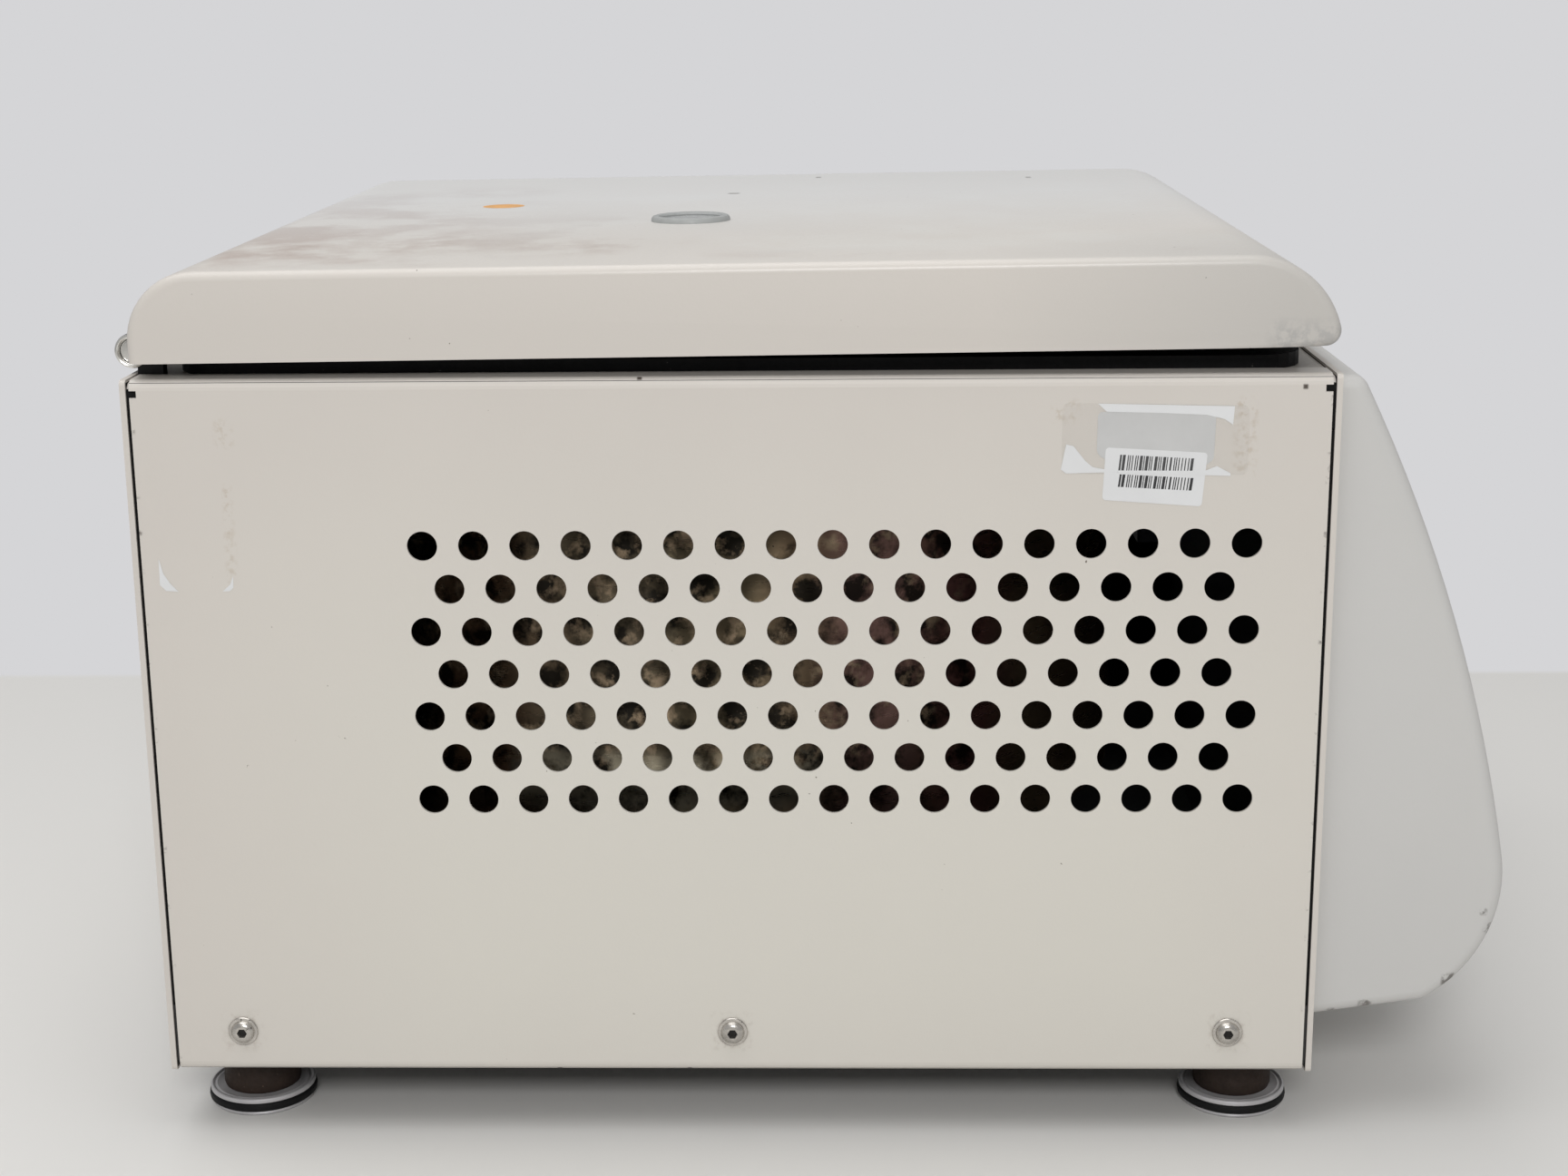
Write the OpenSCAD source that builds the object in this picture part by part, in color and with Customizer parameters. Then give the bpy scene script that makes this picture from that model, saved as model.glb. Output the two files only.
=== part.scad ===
// Benchtop microplate centrifuge, in millimetres.
// Front is -Y, up is +Z, and the origin is on the table under the middle of the whole object.

/* [Housing] */
// Width over the two side panels
body_w = 483; // [470:1:520]
// Depth over the front and rear panels
body_d = 515; // [510:1:560]
// Height from the bottom edge of the panels to the deck
body_h = 316.5; // [310:0.5:340]
// Gauge of the side panels
sheet_t = 1.5; // [1:0.1:2]
// Gauge of the front and rear panels
end_t = 2.5; // [2:0.1:3]
// Outside radius of the side panels' folds
fold_r = 4.5; // [3:0.5:6]
// Width of the flange that a side panel turns in over the deck
top_flange = 17; // [12:0.5:19]
// Width of the flange that a side panel turns in under the base
bottom_flange = 14; // [10:0.5:18]
// Dark seam between a side panel and an end panel
seam_gap = 1.5; // [1:0.1:2]
// Width of the flanges that the front and rear panels turn in behind the seams
return_w = 12; // [8:0.5:14]
// Relief notch at each end of a fold, along the seam
notch_w = 3; // [2:0.5:4]
// Gauge of the base tray
base_t = 2; // [1.5:0.1:3]
// Height of the base tray's walls
base_wall = 30; // [28:0.5:36]
// Gauge of the deck
deck_t = 2; // [1.5:0.1:2.5]
// Height of the deck's turned-down walls
deck_wall = 22; // [16:0.5:26]
// Gap left round the base tray and the deck inside the panels
panel_fit = 0.2; // [0.1:0.05:0.3]

/* [Vents] */
// Diameter of a vent hole
vent_d = 13; // [10:0.5:15]
// Distance between vent holes in a row
vent_pitch = 22; // [20:0.5:24]
// Number of staggered rows
vent_rows = 7; // [5:1:8]
// Holes in a long row, one more than in a short row
vent_count = 17; // [13:1:18]
// How far the pattern's middle is ahead of the housing's middle
vent_forward = 44; // [30:1:50]
// Height of the pattern's middle above the bottom edge of the panels
vent_h = 187; // [175:1:200]

/* [Side screws] */
// Diameter of the screws' flange
screw_flange_d = 13.6; // [12:0.2:15]
// Diameter of the screws' dome
screw_dome_d = 10.5; // [9.5:0.1:11]
// Thickness of the screws' flange
screw_flange_t = 1.2; // [0.8:0.1:1.6]
// Height of the screws' dome above the flange
screw_dome_h = 2.4; // [2:0.1:3]
// Size of the screws' hexagon socket across its corners
screw_socket = 4.6; // [4:0.1:5]
// Diameter of the screws' thread
screw_d = 6; // [5:0.1:6.4]
// Height of the screws above the bottom edge of the panels
screw_h = 19.6; // [15:0.1:24]
// Distance between neighbouring side screws
screw_pitch = 221.5; // [200:0.5:230]
// How far the middle screw is behind the housing's middle
screw_back = 2; // [-4:0.5:4]

/* [Feet] */
// Height of a foot under the base
foot_h = 30; // [27:0.5:36]
// Diameter of the rubber buffer
buffer_d = 36; // [32:0.5:38]
// Diameter of the foot's metal cup
cup_d = 47; // [44:0.5:48]
// Diameter of the black rubber ring
ring_d = 50; // [48.5:0.5:54]
// Thickness of the bright disc that stands on the table
disc_t = 2; // [1.5:0.1:3]
// Thickness of the black rubber ring
ring_t = 4.5; // [3:0.1:6]
// Thickness of the cup's floor
cup_t = 2.5; // [2:0.1:3.5]
// Height of the cup's lip above its floor
cup_lip = 2.5; // [1.5:0.1:4]
// Distance of the feet from the sides of the housing
foot_in = 38.5; // [34:0.5:60]
// Distance of the rear feet from the rear of the housing
foot_rear_in = 31.5; // [28:0.5:60]
// Distance of the front feet from the front of the housing
foot_front_in = 29; // [28:0.5:60]

/* [Lid] */
// Height of the lid from its lower edge to its top
lid_h = 38.5; // [36:0.5:44]
// Gap between the closed lid and the deck
lid_gap = 6.8; // [6.4:0.1:9]
// Wall of the lid
lid_wall = 2; // [1.5:0.1:3]
// Radius of the lid's nose
nose_r = 40; // [34:0.5:42]
// Radius of the lid's front lip
lip_r = 6.5; // [5:0.5:8]
// Radius of the lid's rear corner
rear_r = 30; // [24:0.5:33]
// Radius of the lid's side edges
lid_edge_r = 4; // [2.5:0.5:5]
// How far the lid's tip stays behind the front panel
lid_front_in = 1; // [0:0.5:3]
// How far the lid's rear stays ahead of the rear panel
lid_rear_in = 4; // [3:0.5:6]
// Angle at which the lid stands ajar
lid_ajar = 0.5; // [0:0.1:0.6]
// Thickness of the black lid liner
liner_t = 3; // [2:0.1:3.6]
// Distance of the liner and the seal from the sides of the lid
liner_in = 21; // [20:0.5:24]
// How far the liner hangs below the lid's edge
liner_drop = 1.6; // [1:0.1:2]
// Diameter of the lid's window over its rim
window_d = 39; // [34:0.5:44]
// Width of the window's rim
window_rim = 4.5; // [3.5:0.1:6]
// Height of the window's rim above the lid
window_rise = 2.8; // [1.5:0.1:4]
// Distance of the window's middle from the rotor axis, towards the left side
window_side = 48; // [40:1:56]
// Width of the seal round the chamber's mouth
seal_w = 14.5; // [10:0.5:16]
// Gap left between the closed liner and the seal
seal_gap = 0.4; // [0.3:0.05:0.6]

/* [Hinge] */
// Outside diameter of the hinge knuckles and ears
hinge_d = 15; // [14:0.5:16]
// Diameter of the hinge rod
rod_d = 10; // [8:0.5:11]
// Height of the hinge axis above the deck
hinge_h = 9.7; // [9:0.1:11]
// Distance of the hinge axis ahead of the rear panel's face
hinge_in = 0.8; // [0.5:0.1:2]
// Width of an ear
ear_w = 6; // [5:0.5:8]
// Distance from a side of the housing to the outer face of an ear
ear_in = 20; // [19.5:0.5:26]
// Length of an ear's foot ahead of the hinge
ear_l = 13; // [11:0.5:16]
// Width of a lid knuckle
knuckle_w = 20; // [14:0.5:26]
// Length of a knuckle's arm ahead of the hinge
knuckle_l = 37; // [35:0.5:42]
// Gap between a knuckle and an ear
hinge_play = 0.5; // [0.3:0.1:1]
// Radial running clearance of pins and shafts
run_fit = 0.05; // [0.03:0.01:0.09]

/* [Chamber] */
// Distance from a side of the housing to the inside of the bowl
bowl_in = 51.5; // [50:0.5:54]
// Distance of a bowl set midway from the front and rear panels' faces
bowl_ends = 67.5; // [66:0.5:72]
// Depth of the chamber below the deck
bowl_depth = 186; // [184:1:200]
// Gauge of the bowl
bowl_t = 1.5; // [1:0.1:2]
// Width of the bowl's flange
bowl_flange = 8; // [6:0.5:9]
// Gap between the bowl and the steel guard ring round it
guard_gap = 18.5; // [14:0.5:20]
// Thickness of the guard ring
guard_t = 4; // [3:0.5:6]
// Height of the guard ring
guard_h = 230; // [190:1:240]
// Distance of the rotor axis behind the middle of the housing
rotor_back = 26; // [22:1:30]
// Diameter of the posts under the guard ring
post_d = 14; // [10:0.5:18]

/* [Drive] */
// Diameter of the motor shaft
shaft_d = 15; // [12:0.5:17]
// Outside radius of the motor
motor_r = 62; // [58:1:70]
// Height of the motor's can
motor_h = 70; // [66:1:76]
// Wall of the motor's can
motor_wall = 5; // [4:0.5:7]
// Outside diameter of the motor's bearings
bearing_d = 35; // [32:0.5:40]
// Width of the motor's bearings
bearing_w = 11; // [9:0.5:12]
// Air gap between the stator and the motor's core
air_gap = 0.8; // [0.5:0.1:1.2]
// Outside radius of the motor's core
core_r = 34; // [28:0.5:38]
// Length of the stator and the core
core_h = 36; // [30:0.5:40]
// Height of the rubber mounts
mount_h = 24; // [20:0.5:26]
// Diameter of the rubber mounts
mount_d = 28; // [22:0.5:32]
// Radius of the circle of rubber mounts
mount_pcr = 86; // [80:1:94]
// Thickness of the motor plate
plate_t = 6; // [4:0.5:8]

/* [Rotor] */
// Distance of the trunnions from the rotor axis
trunnion_r = 92; // [91:0.5:96]
// Height of the trunnions above the chamber's floor
trunnion_h = 94; // [92:0.5:98]
// Diameter of the trunnion pins
trunnion_d = 8; // [6:0.5:9]
// Inside length of a plate carrier, for a 127.8 mm plate
carrier_l = 129; // [128.5:0.1:130]
// Inside width of a plate carrier, for an 85.5 mm plate
carrier_w = 87; // [86:0.1:88]
// Depth of a carrier below its trunnions
carrier_drop = 60; // [54:0.5:62]
// Height of a carrier's walls above its trunnions
carrier_rise = 8; // [6:0.5:10]
// Wall of a carrier
carrier_wall = 2.5; // [2:0.1:2.8]
// Diameter of the bosses round the trunnions
boss_d = 18; // [14:0.5:20]
// Thickness of the bosses outside the carrier's wall
boss_t = 3; // [2:0.1:4]
// Gap between a boss and the yoke
boss_play = 1; // [0.6:0.1:1.5]
// Thickness of the yoke's two bars
bar_t = 8; // [6:0.5:10]
// Height of the yoke's bars
bar_h = 18; // [14:0.5:20]
// Radius of the yoke's hub
hub_r = 34; // [28:0.5:38]
// Length of the hub's neck below the bars
neck_h = 34; // [20:0.5:44]
// Radius of the hub's neck
neck_r = 18; // [14:0.5:24]
// Radius of the rotor nut
nut_r = 17; // [14:0.5:20]
// Height of the rotor nut
nut_h = 16; // [12:0.5:20]

/* [Lid lock] */
// Distance of the strikers behind the front panel's face
striker_in = 39.5; // [38:0.5:42]
// Distance of each striker from the middle
striker_x = 55; // [45:1:70]
// Depth of the strikers' bars below the deck
striker_drop = 26; // [24:0.5:28]
// Diameter of the strikers' wire
striker_d = 5; // [4:0.5:5.5]
// Width of a striker between the middles of its legs
striker_w = 16; // [14:0.5:20]
// Height of the slack between a closed striker and its hook
hook_slack = 5.4; // [5.2:0.1:6]
// Distance of the lock shaft ahead of the strikers
lock_ahead = 15; // [13:0.5:16]
// Distance of the lock shaft below the strikers' bars
lock_below = 26; // [24:0.5:28]
// Height of the hooks' noses
nose_t = 6; // [5:0.5:7]
// Reach of the hooks' noses from the lock shaft
nose_l = 20; // [18:0.5:21]
// Width of the hooks' arms
arm_w = 10; // [8:0.5:10]
// Distance of the lock bracket's floor below the lock shaft
bracket_below = 32; // [31:0.5:36]
// Distance of the lock bracket's cheeks outside the strikers
bracket_out = 20; // [16:0.5:24]
// Thickness of the lock's hooks and lever
hook_t = 4; // [3:0.5:5]
// Swing of the hooks from open to locked
hook_swing = 21; // [19:1:22]
// Diameter of the lock shaft
lock_shaft_d = 8; // [6:0.5:9]
// Reach of the lever that the solenoid pulls
lever_r = 18; // [16:0.5:19]
// Diameter of the lever's pin
lever_pin_d = 4; // [3:0.5:4.5]
// Thickness of the lock's bracket
bracket_t = 3; // [2:0.5:4]
// Diameter of the solenoid's plunger
plunger_d = 10; // [8:0.5:11]
// Height of the solenoid
solenoid_h = 40; // [34:1:44]
// Wire of the lock's return spring
lock_wire = 1.2; // [0.8:0.1:1.4]
// Curls of the lock's return spring
lock_curls = 7; // [5:1:8]

/* [Front cover] */
// Reach of the moulded front cover ahead of the housing
cover_reach = 83; // [76:1:90]
// Width of the front cover
cover_w = 469; // [460:1:476]
// Gap between the cover's top and the deck
cover_top_gap = 1.8; // [1:0.1:3]
// Height of the cover's lower edge above the bottom edge of the panels
cover_low = 23.7; // [20:0.5:28]
// Radius of the cover's chin
chin_r = 66; // [60:1:70]
// Height of the chin's middle above the bottom edge of the panels
chin_h = 88; // [84:1:94]
// Radius of the cover's long front face
face_r = 740; // [700:10:900]
// Angle between the chin and the face, from the horizontal
chin_turn = 9.5; // [8:0.5:11]
// Angle at which the chin meets the underside
chin_end = -60; // [-66:1:-54]
// Radius of the cover's top corner
brow_r = 9; // [6:0.5:12]
// Wall of the cover
cover_wall = 3; // [2.5:0.1:3.5]
// Radius of the cover's side edges
cover_edge_r = 6; // [4:0.5:8]

/* [Controls] */
// Height of the display's middle above the bottom edge of the panels
display_h = 240; // [236:1:246]
// Width of the display window
display_w = 110; // [90:1:130]
// Height of the display window
display_l = 44; // [36:1:50]
// Gap between the display window and the keys below it
keys_gap = 12.5; // [9:0.5:16]
// Diameter of a key
key_d = 17; // [14:0.5:19]
// Distance between keys
key_pitch = 34; // [28:0.5:38]
// Travel of a key
key_travel = 1; // [0.6:0.1:1.2]
// Height of a key above the cover
key_rise = 2.2; // [1.6:0.1:3]
// Gap round a key in the cover
key_fit = 0.4; // [0.3:0.05:0.6]
// Distance of the knob from the middle
knob_x = 105; // [95:1:115]
// Diameter of the knob
knob_d = 30; // [24:0.5:34]
// Height of the knob
knob_h = 15; // [12:0.5:18]
// Depth of the control board behind the face
board_in = 18; // [16:0.5:20]
// Thickness of the circuit boards
board_t = 1.6; // [1.2:0.1:2]

/* [Rear] */
// Height of the rear sockets' row above the bottom edge of the panels
socket_h = 45; // [40:1:56]
// Distance of the mains inlet's middle from the left side
inlet_in = 91.5; // [84:0.5:98]
// Distance between neighbouring fittings of the rear row
fitting_pitch = 52; // [48:1:56]
// Depth of the inlet's recess
inlet_deep = 17; // [15:0.5:19]
// Width of the fan's frame
fan_w = 60; // [56:1:62]
// Depth of the fan's frame
fan_t = 20; // [16:0.5:22]
// Distance of the fan's middle from the right side
fan_in = 101.5; // [95:0.5:110]
// Height of the fan's middle above the bottom edge of the panels
fan_h = 110; // [100:1:130]
// Width of the power board, across the machine
power_w = 100; // [90:1:104]
// Length of the power board, along the machine
power_l = 80; // [70:1:90]
// Height of the power board above the base
power_up = 6; // [5:0.5:10]
// Height of the parts on the power board
power_h = 30; // [24:1:36]
// Blades of the fan
fan_blades = 7; // [5:1:9]
// Swing of the mains switch to each side
rocker_swing = 8; // [6:0.5:10]

/* [Hidden] */
$fn = 48;
eps = 0.01;
base_z = foot_h;
deck_z = base_z + body_h;
hinge_reach = hinge_d / 2 - hinge_in;
rear_y = (cover_reach + body_d + hinge_reach) / 2 - hinge_reach;
front_y = rear_y - body_d;
mid_y = (front_y + rear_y) / 2;
rotor_y = mid_y + rotor_back;
half_w = body_w / 2;
inner_w = half_w - sheet_t;
inner_front = front_y + end_t;
inner_rear = rear_y - end_t;
side_front = inner_front + seam_gap;
side_rear = inner_rear - seam_gap;
vent_y = mid_y - vent_forward;
vent_z = base_z + vent_h;
base_under = base_z + sheet_t;
base_top = base_under + base_t;
deck_top = deck_z - sheet_t;
deck_under = deck_top - deck_t;
pan_r = fold_r - sheet_t + 1;
hinge_y = rear_y - hinge_in;
hinge_z = deck_z + hinge_h;
lid_z = deck_z + lid_gap;
lid_top = lid_z + lid_h;
lid_front = front_y + lid_front_in;
lid_rear = rear_y - lid_rear_in;
liner_z = lid_z - liner_drop;
liner_x = half_w - liner_in;
seal_rear = inner_rear - 13.5;
bowl_r = min(half_w - bowl_in, body_d / 2 - bowl_ends);
bowl_floor = deck_top - bowl_depth;
guard_r = bowl_r + bowl_t + guard_gap;
guard_top = deck_under;
guard_z = guard_top - guard_h;
mount_z = base_top;
plate_z = mount_z + mount_h;
motor_z = plate_z + plate_t;
motor_top = motor_z + motor_h;
trunnion_z = bowl_floor + trunnion_h;
bar_y = carrier_l / 2 + carrier_wall + boss_t + boss_play;
bar_z = trunnion_z - bar_h / 2;
hub_top = trunnion_z + bar_h / 2;
hub_x = trunnion_r - carrier_w / 2 - carrier_wall - 6;
carrier_x = carrier_w / 2 + carrier_wall;
hook_y = front_y + striker_in;
bar_drop_z = deck_z - striker_drop;
nose_under = bar_drop_z + striker_d / 2 + hook_slack;
lock_y = hook_y - lock_ahead;
lock_z = bar_drop_z - lock_below;
bracket_z = lock_z - bracket_below;
bracket_x = striker_x + bracket_out;
bracket_front = inner_front + 5;
bracket_rear = hook_y + 18;
lever_y = lock_y + lever_r * cos(hook_swing / 2);
lever_rest_z = lock_z + lever_r * sin(hook_swing / 2);
fork_h = 16;
cover_bottom = base_z + cover_low;
keys_h = display_h - display_l / 2 - keys_gap - key_d / 2;
board_z = -board_in;
inlet_x = half_w - inlet_in;
fan_x = half_w - fan_in;
key_names = ["start_key", "stop_key", "lid_key"];
left = -1;
right = 1;

// Points along an arc about (x, y), from angle a to angle b in n steps.
function arc(x, y, r, a, b, n) =
    [for (i = [0 : n]) let (t = a + (b - a) * i / n) [x + r * cos(t), y + r * sin(t)]];

function reversed(list) = [for (i = [len(list) - 1 : -1 : 0]) list[i]];

// Tube between two radii, standing on z = 0.
module tube(outer, inner, h) {
    difference() {
        cylinder(r = outer, h = h);
        translate([0, 0, -1]) cylinder(r = inner, h = h + 2);
    }
}

// Round bar along X, centred on the origin.
module bar_x(d, l) {
    rotate([0, 90, 0]) translate([0, 0, -l / 2]) cylinder(d = d, h = l);
}

// Round bar along Y from y = 0.
module bar_y_from(d, l) {
    rotate([-90, 0, 0]) cylinder(d = d, h = l);
}

// Extrudes an outline of (Y, Z) points along X, centred on X = 0.
module along_x(points, w) {
    translate([-w / 2, 0, 0]) rotate([90, 0, 90]) linear_extrude(w) polygon(points);
}

// Extrudes an outline of (X, Z) points along Y, from y0 to y1.
module along_y(points, y0, y1) {
    translate([0, y1, 0]) rotate([90, 0, 0]) linear_extrude(y1 - y0) polygon(points);
}

// Block given by two corners.
module block(a, b) {
    translate(a) cube(b - a);
}

// Housing panels

// Section of the right side panel: a web with a flange turned in at the top and the bottom.
function side_section() = concat(
    arc(half_w - fold_r, deck_z - fold_r, fold_r, 0, 90, 5),
    [[half_w - top_flange, deck_z], [half_w - top_flange, deck_top]],
    arc(half_w - fold_r, deck_z - fold_r, fold_r - sheet_t, 90, 0, 5),
    arc(half_w - fold_r, base_z + fold_r, fold_r - sheet_t, 0, -90, 5),
    [[half_w - bottom_flange, base_under], [half_w - bottom_flange, base_z]],
    arc(half_w - fold_r, base_z + fold_r, fold_r, -90, 0, 5)
);

module at_side_screws() {
    for (i = [-1 : 1]) translate([0, mid_y + screw_back + i * screw_pitch, base_z + screw_h]) children();
}

module vent_holes() {
    row_step = vent_pitch * sin(60);
    for (row = [0 : vent_rows - 1]) {
        count = vent_count - row % 2;
        for (i = [0 : count - 1])
            translate([0, vent_y + (i - (count - 1) / 2) * vent_pitch,
                       vent_z + (row - (vent_rows - 1) / 2) * row_step])
                rotate([0, 90, 0]) cylinder(d = vent_d, h = half_w + 1);
    }
}

module side_panel() {
    difference() {
        along_y(side_section(), side_front, side_rear);
        vent_holes();
        for (y = [side_front, side_rear - notch_w])
            block([half_w - fold_r - 1, y - eps, deck_z - fold_r - notch_w],
                  [half_w + 1, y + notch_w + eps, deck_z - fold_r]);
        at_side_screws() rotate([0, 90, 0]) cylinder(d = screw_d + 0.6, h = half_w + 1);
    }
}

module right_side_panel() {
    color("#ccc6be") side_panel();
}

module left_side_panel() {
    color("#ccc6be") mirror([1, 0, 0]) side_panel();
}

// Outline of an end panel in (X, Z), with small round corners.
function end_section(r = 2) = concat(
    arc(half_w - r, base_z + r, r, -90, 0, 3),
    arc(half_w - r, deck_z - r, r, 0, 90, 3),
    arc(r - half_w, deck_z - r, r, 90, 180, 3),
    arc(r - half_w, base_z + r, r, 180, 270, 3)
);

// Flanges of an end panel behind the side panels' edges, from y0 to y1, which close the seams.
module end_returns(y0, y1) {
    x = inner_w - panel_fit;
    for (s = [left, right])
        block([s > 0 ? x - end_t : -x, y0, base_under + base_wall + 1],
              [s > 0 ? x : end_t - x, y1, deck_top - deck_wall - 1]);
}

module front_panel() {
    color("#c9c3bb") end_returns(inner_front - eps, inner_front + return_w);
    color("#c9c3bb") difference() {
        along_y(end_section(), front_y, inner_front);
        translate([0, front_y - 1, base_z + display_h - 30]) bar_y_from(20, end_t + 2);
    }
}

module rear_panel() {
    z = base_z + socket_h;
    color("#c9c3bb") end_returns(inner_rear - return_w, inner_rear + eps);
    color("#c9c3bb") difference() {
        along_y(end_section(), inner_rear, rear_y);
        block([-inlet_x - 14.5, inner_rear - 1, z - 11], [-inlet_x + 14.5, rear_y + 1, z + 11]);
        block([-inlet_x + fitting_pitch - 11, inner_rear - 1, z - 14.2],
              [-inlet_x + fitting_pitch + 11, rear_y + 1, z + 14.2]);
        translate([-inlet_x + 2 * fitting_pitch, inner_rear - 1, z]) bar_y_from(12.4, end_t + 2);
        translate([fan_x, inner_rear - 1, base_z + fan_h]) bar_y_from(fan_w - 6, end_t + 2);
    }
}

// Section of a shallow pan in (X, Z) with its two long folds rounded, open at height h.
function pan_section(x, r, h) = concat(
    [[x, h], [-x, h]],
    arc(r - x, r, r, 180, 270, 4),
    arc(x - r, r, r, -90, 0, 4)
);

// Pan of sheet t, h high, that fits inside the four panels.
module pan(t, h) {
    x = inner_w - panel_fit;
    y0 = inner_front + panel_fit;
    y1 = inner_rear - panel_fit;
    difference() {
        along_y(pan_section(x, pan_r, h), y0, y1);
        translate([0, 0, t]) along_y(pan_section(x - t, max(pan_r - t, 0.5), h), y0 + t, y1 - t);
    }
}

module base_tray() {
    y1 = inner_rear - panel_fit;
    color("#8f9296") difference() {
        translate([0, 0, base_under]) pan(base_t, base_wall);
        at_side_screws() bar_x(screw_d + 0.6, body_w);
        block([-inlet_x - 26, y1 - base_t - 1, base_top + 4], [-inlet_x + 2 * fitting_pitch + 12, y1 + 1, deck_z]);
    }
}

module top_deck() {
    color("#b9b4ac") difference() {
        translate([0, 0, deck_top]) mirror([0, 0, 1]) pan(deck_t, deck_wall);
        translate([0, rotor_y, deck_under - 1]) cylinder(r = bowl_r + bowl_t + 0.5, h = deck_t + 2);
        for (s = [left, right])
            block([s * striker_x - striker_w / 2 - 6, hook_y - 12, deck_under - 1],
                  [s * striker_x + striker_w / 2 + 6, hook_y + 9, deck_top + 1]);
    }
}

module side_screw() {
    rotate([0, 90, 0]) difference() {
        union() {
            translate([0, 0, half_w]) cylinder(d = screw_flange_d, h = screw_flange_t);
            translate([0, 0, half_w + screw_flange_t - eps]) intersection() {
                cylinder(d = screw_dome_d, h = screw_dome_h);
                translate([0, 0, screw_dome_h - dome_r()]) sphere(r = dome_r());
            }
            translate([0, 0, half_w - 10]) cylinder(d = screw_d, h = 10 + eps);
        }
        translate([0, 0, half_w + screw_flange_t + screw_dome_h - 2]) cylinder(d = screw_socket, h = 3, $fn = 6);
    }
}

// Radius of a sphere that makes a dome of the screws' width and height.
function dome_r() = (pow(screw_dome_d / 2, 2) + pow(screw_dome_h, 2)) / (2 * screw_dome_h);

module side_screws() {
    color("#c9c8c4") at_side_screws() {
        side_screw();
        mirror([1, 0, 0]) side_screw();
    }
}

// Feet

module at_feet() {
    for (x = [-half_w + foot_in, half_w - foot_in], y = [front_y + foot_front_in, rear_y - foot_rear_in])
        translate([x, y, 0]) children();
}

module foot_discs() {
    color("#bfc1c4") at_feet() cylinder(d = cup_d + 1, h = disc_t);
}

module foot_rings() {
    color("#161616") at_feet() translate([0, 0, disc_t]) cylinder(d = ring_d, h = ring_t);
}

module foot_cups() {
    z = disc_t + ring_t;
    color("#c4c6ca") at_feet() translate([0, 0, z]) difference() {
        cylinder(d = cup_d, h = cup_t + cup_lip);
        translate([0, 0, cup_t]) cylinder(d = cup_d - 3, h = cup_lip + 1);
    }
}

module foot_buffers() {
    z = disc_t + ring_t + cup_t;
    color("#3a2a20") at_feet() translate([0, 0, z]) cylinder(d = buffer_d, h = base_under - z);
}

// Lid

// Everything on the lid is drawn closed and then raised about the hinge to where it stands ajar.
module as_ajar() {
    translate([0, hinge_y, hinge_z]) rotate([-lid_ajar, 0, 0]) translate([0, -hinge_y, -hinge_z]) children();
}

// Middle of the nose's arc, of the lip's arc inside it and of the rear corner's arc, in (Y, Z).
nose_dz = nose_r - lid_h + lip_r;
nose_dy = sqrt(pow(nose_r - lip_r, 2) - pow(nose_dz, 2));
nose_turn = atan2(nose_dz, nose_dy);
lip_y = lid_front + lip_r;
nose_y = lip_y + nose_dy;
nose_z = lid_top - nose_r;

// Outline of the lid, drawn in by i, closed by its flat underside.
function lid_outline(i) = concat(
    reversed(arc(nose_y, nose_z, nose_r - i, 90, 180 - nose_turn, 8)),
    arc(lid_rear - rear_r, lid_top - rear_r, rear_r - i, 90, 0, 8),
    [[lid_rear - i, lid_z + i]],
    [for (p = arc(lip_y, lid_z + lip_r, lip_r - i, 270, 180 - nose_turn, 6)) p]
);

// Outline of the hollow inside the lid, open below.
function lid_hollow() = concat(
    [[lid_front + lip_r, lid_z - 1]],
    reversed(arc(nose_y, nose_z, nose_r - lid_wall, 90, 180 - nose_turn, 8)),
    arc(lid_rear - rear_r, lid_top - rear_r, rear_r - lid_wall, 90, 0, 8),
    [[lid_rear - lid_wall, lid_z - 1]]
);

module lid_body() {
    hull() for (t = [0 : 30 : 90])
        along_x(lid_outline(lid_edge_r * (1 - cos(t))), body_w - 2 * lid_edge_r * (1 - sin(t)));
}

module lid_shell() {
    clear_r = hinge_d / 2 + 1.5;
    color("#d2ccc3") as_ajar() difference() {
        lid_body();
        along_x(lid_hollow(), body_w - 2 * lid_wall);
        block([-half_w + ear_in - 1, hinge_y - clear_r, lid_z - 1],
              [half_w - ear_in + 1, rear_y + 1, hinge_z + clear_r]);
        translate([-window_side, rotor_y, lid_top - lid_wall - 1])
            cylinder(d = window_d - 2 * window_rim + 0.4, h = lid_wall + 2);
    }
}

module lid_liner() {
    y1 = seal_rear + 2;
    notch_x = half_w - ear_in - ear_w - hinge_play - knuckle_w - 1;
    color("#17181a") as_ajar() difference() {
        union() {
            block([-liner_x, lid_front + 12, liner_z], [liner_x, y1, liner_z + liner_t]);
            block([-liner_x, lid_front + 12, liner_z], [liner_x, lid_front + 15, lid_z + 14]);
            for (s = [left, right]) for (y = [rotor_y - 150, rotor_y + 60])
                translate([s * 150, y, liner_z]) cylinder(d = 12, h = lid_top - lid_wall - liner_z);
        }
        for (s = [left, right])
            block([s > 0 ? notch_x : -liner_x - 1, hinge_y - knuckle_l - 2, liner_z - 1],
                  [s > 0 ? liner_x + 1 : -notch_x, y1 + 1, liner_z + liner_t + 1]);
        translate([-window_side, rotor_y, liner_z - 1]) cylinder(d = window_d - 2 * window_rim + 0.4, h = liner_t + 2);
    }
}

module lid_window() {
    color("#8d9090") as_ajar() translate([-window_side, rotor_y, liner_z])
        cylinder(d = window_d - 2 * window_rim, h = lid_top - liner_z + 0.4);
}

module window_rim() {
    color("#9a9c9b") as_ajar() translate([-window_side, rotor_y, lid_top])
        tube(window_d / 2, window_d / 2 - window_rim + 0.2, window_rise);
}

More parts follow.
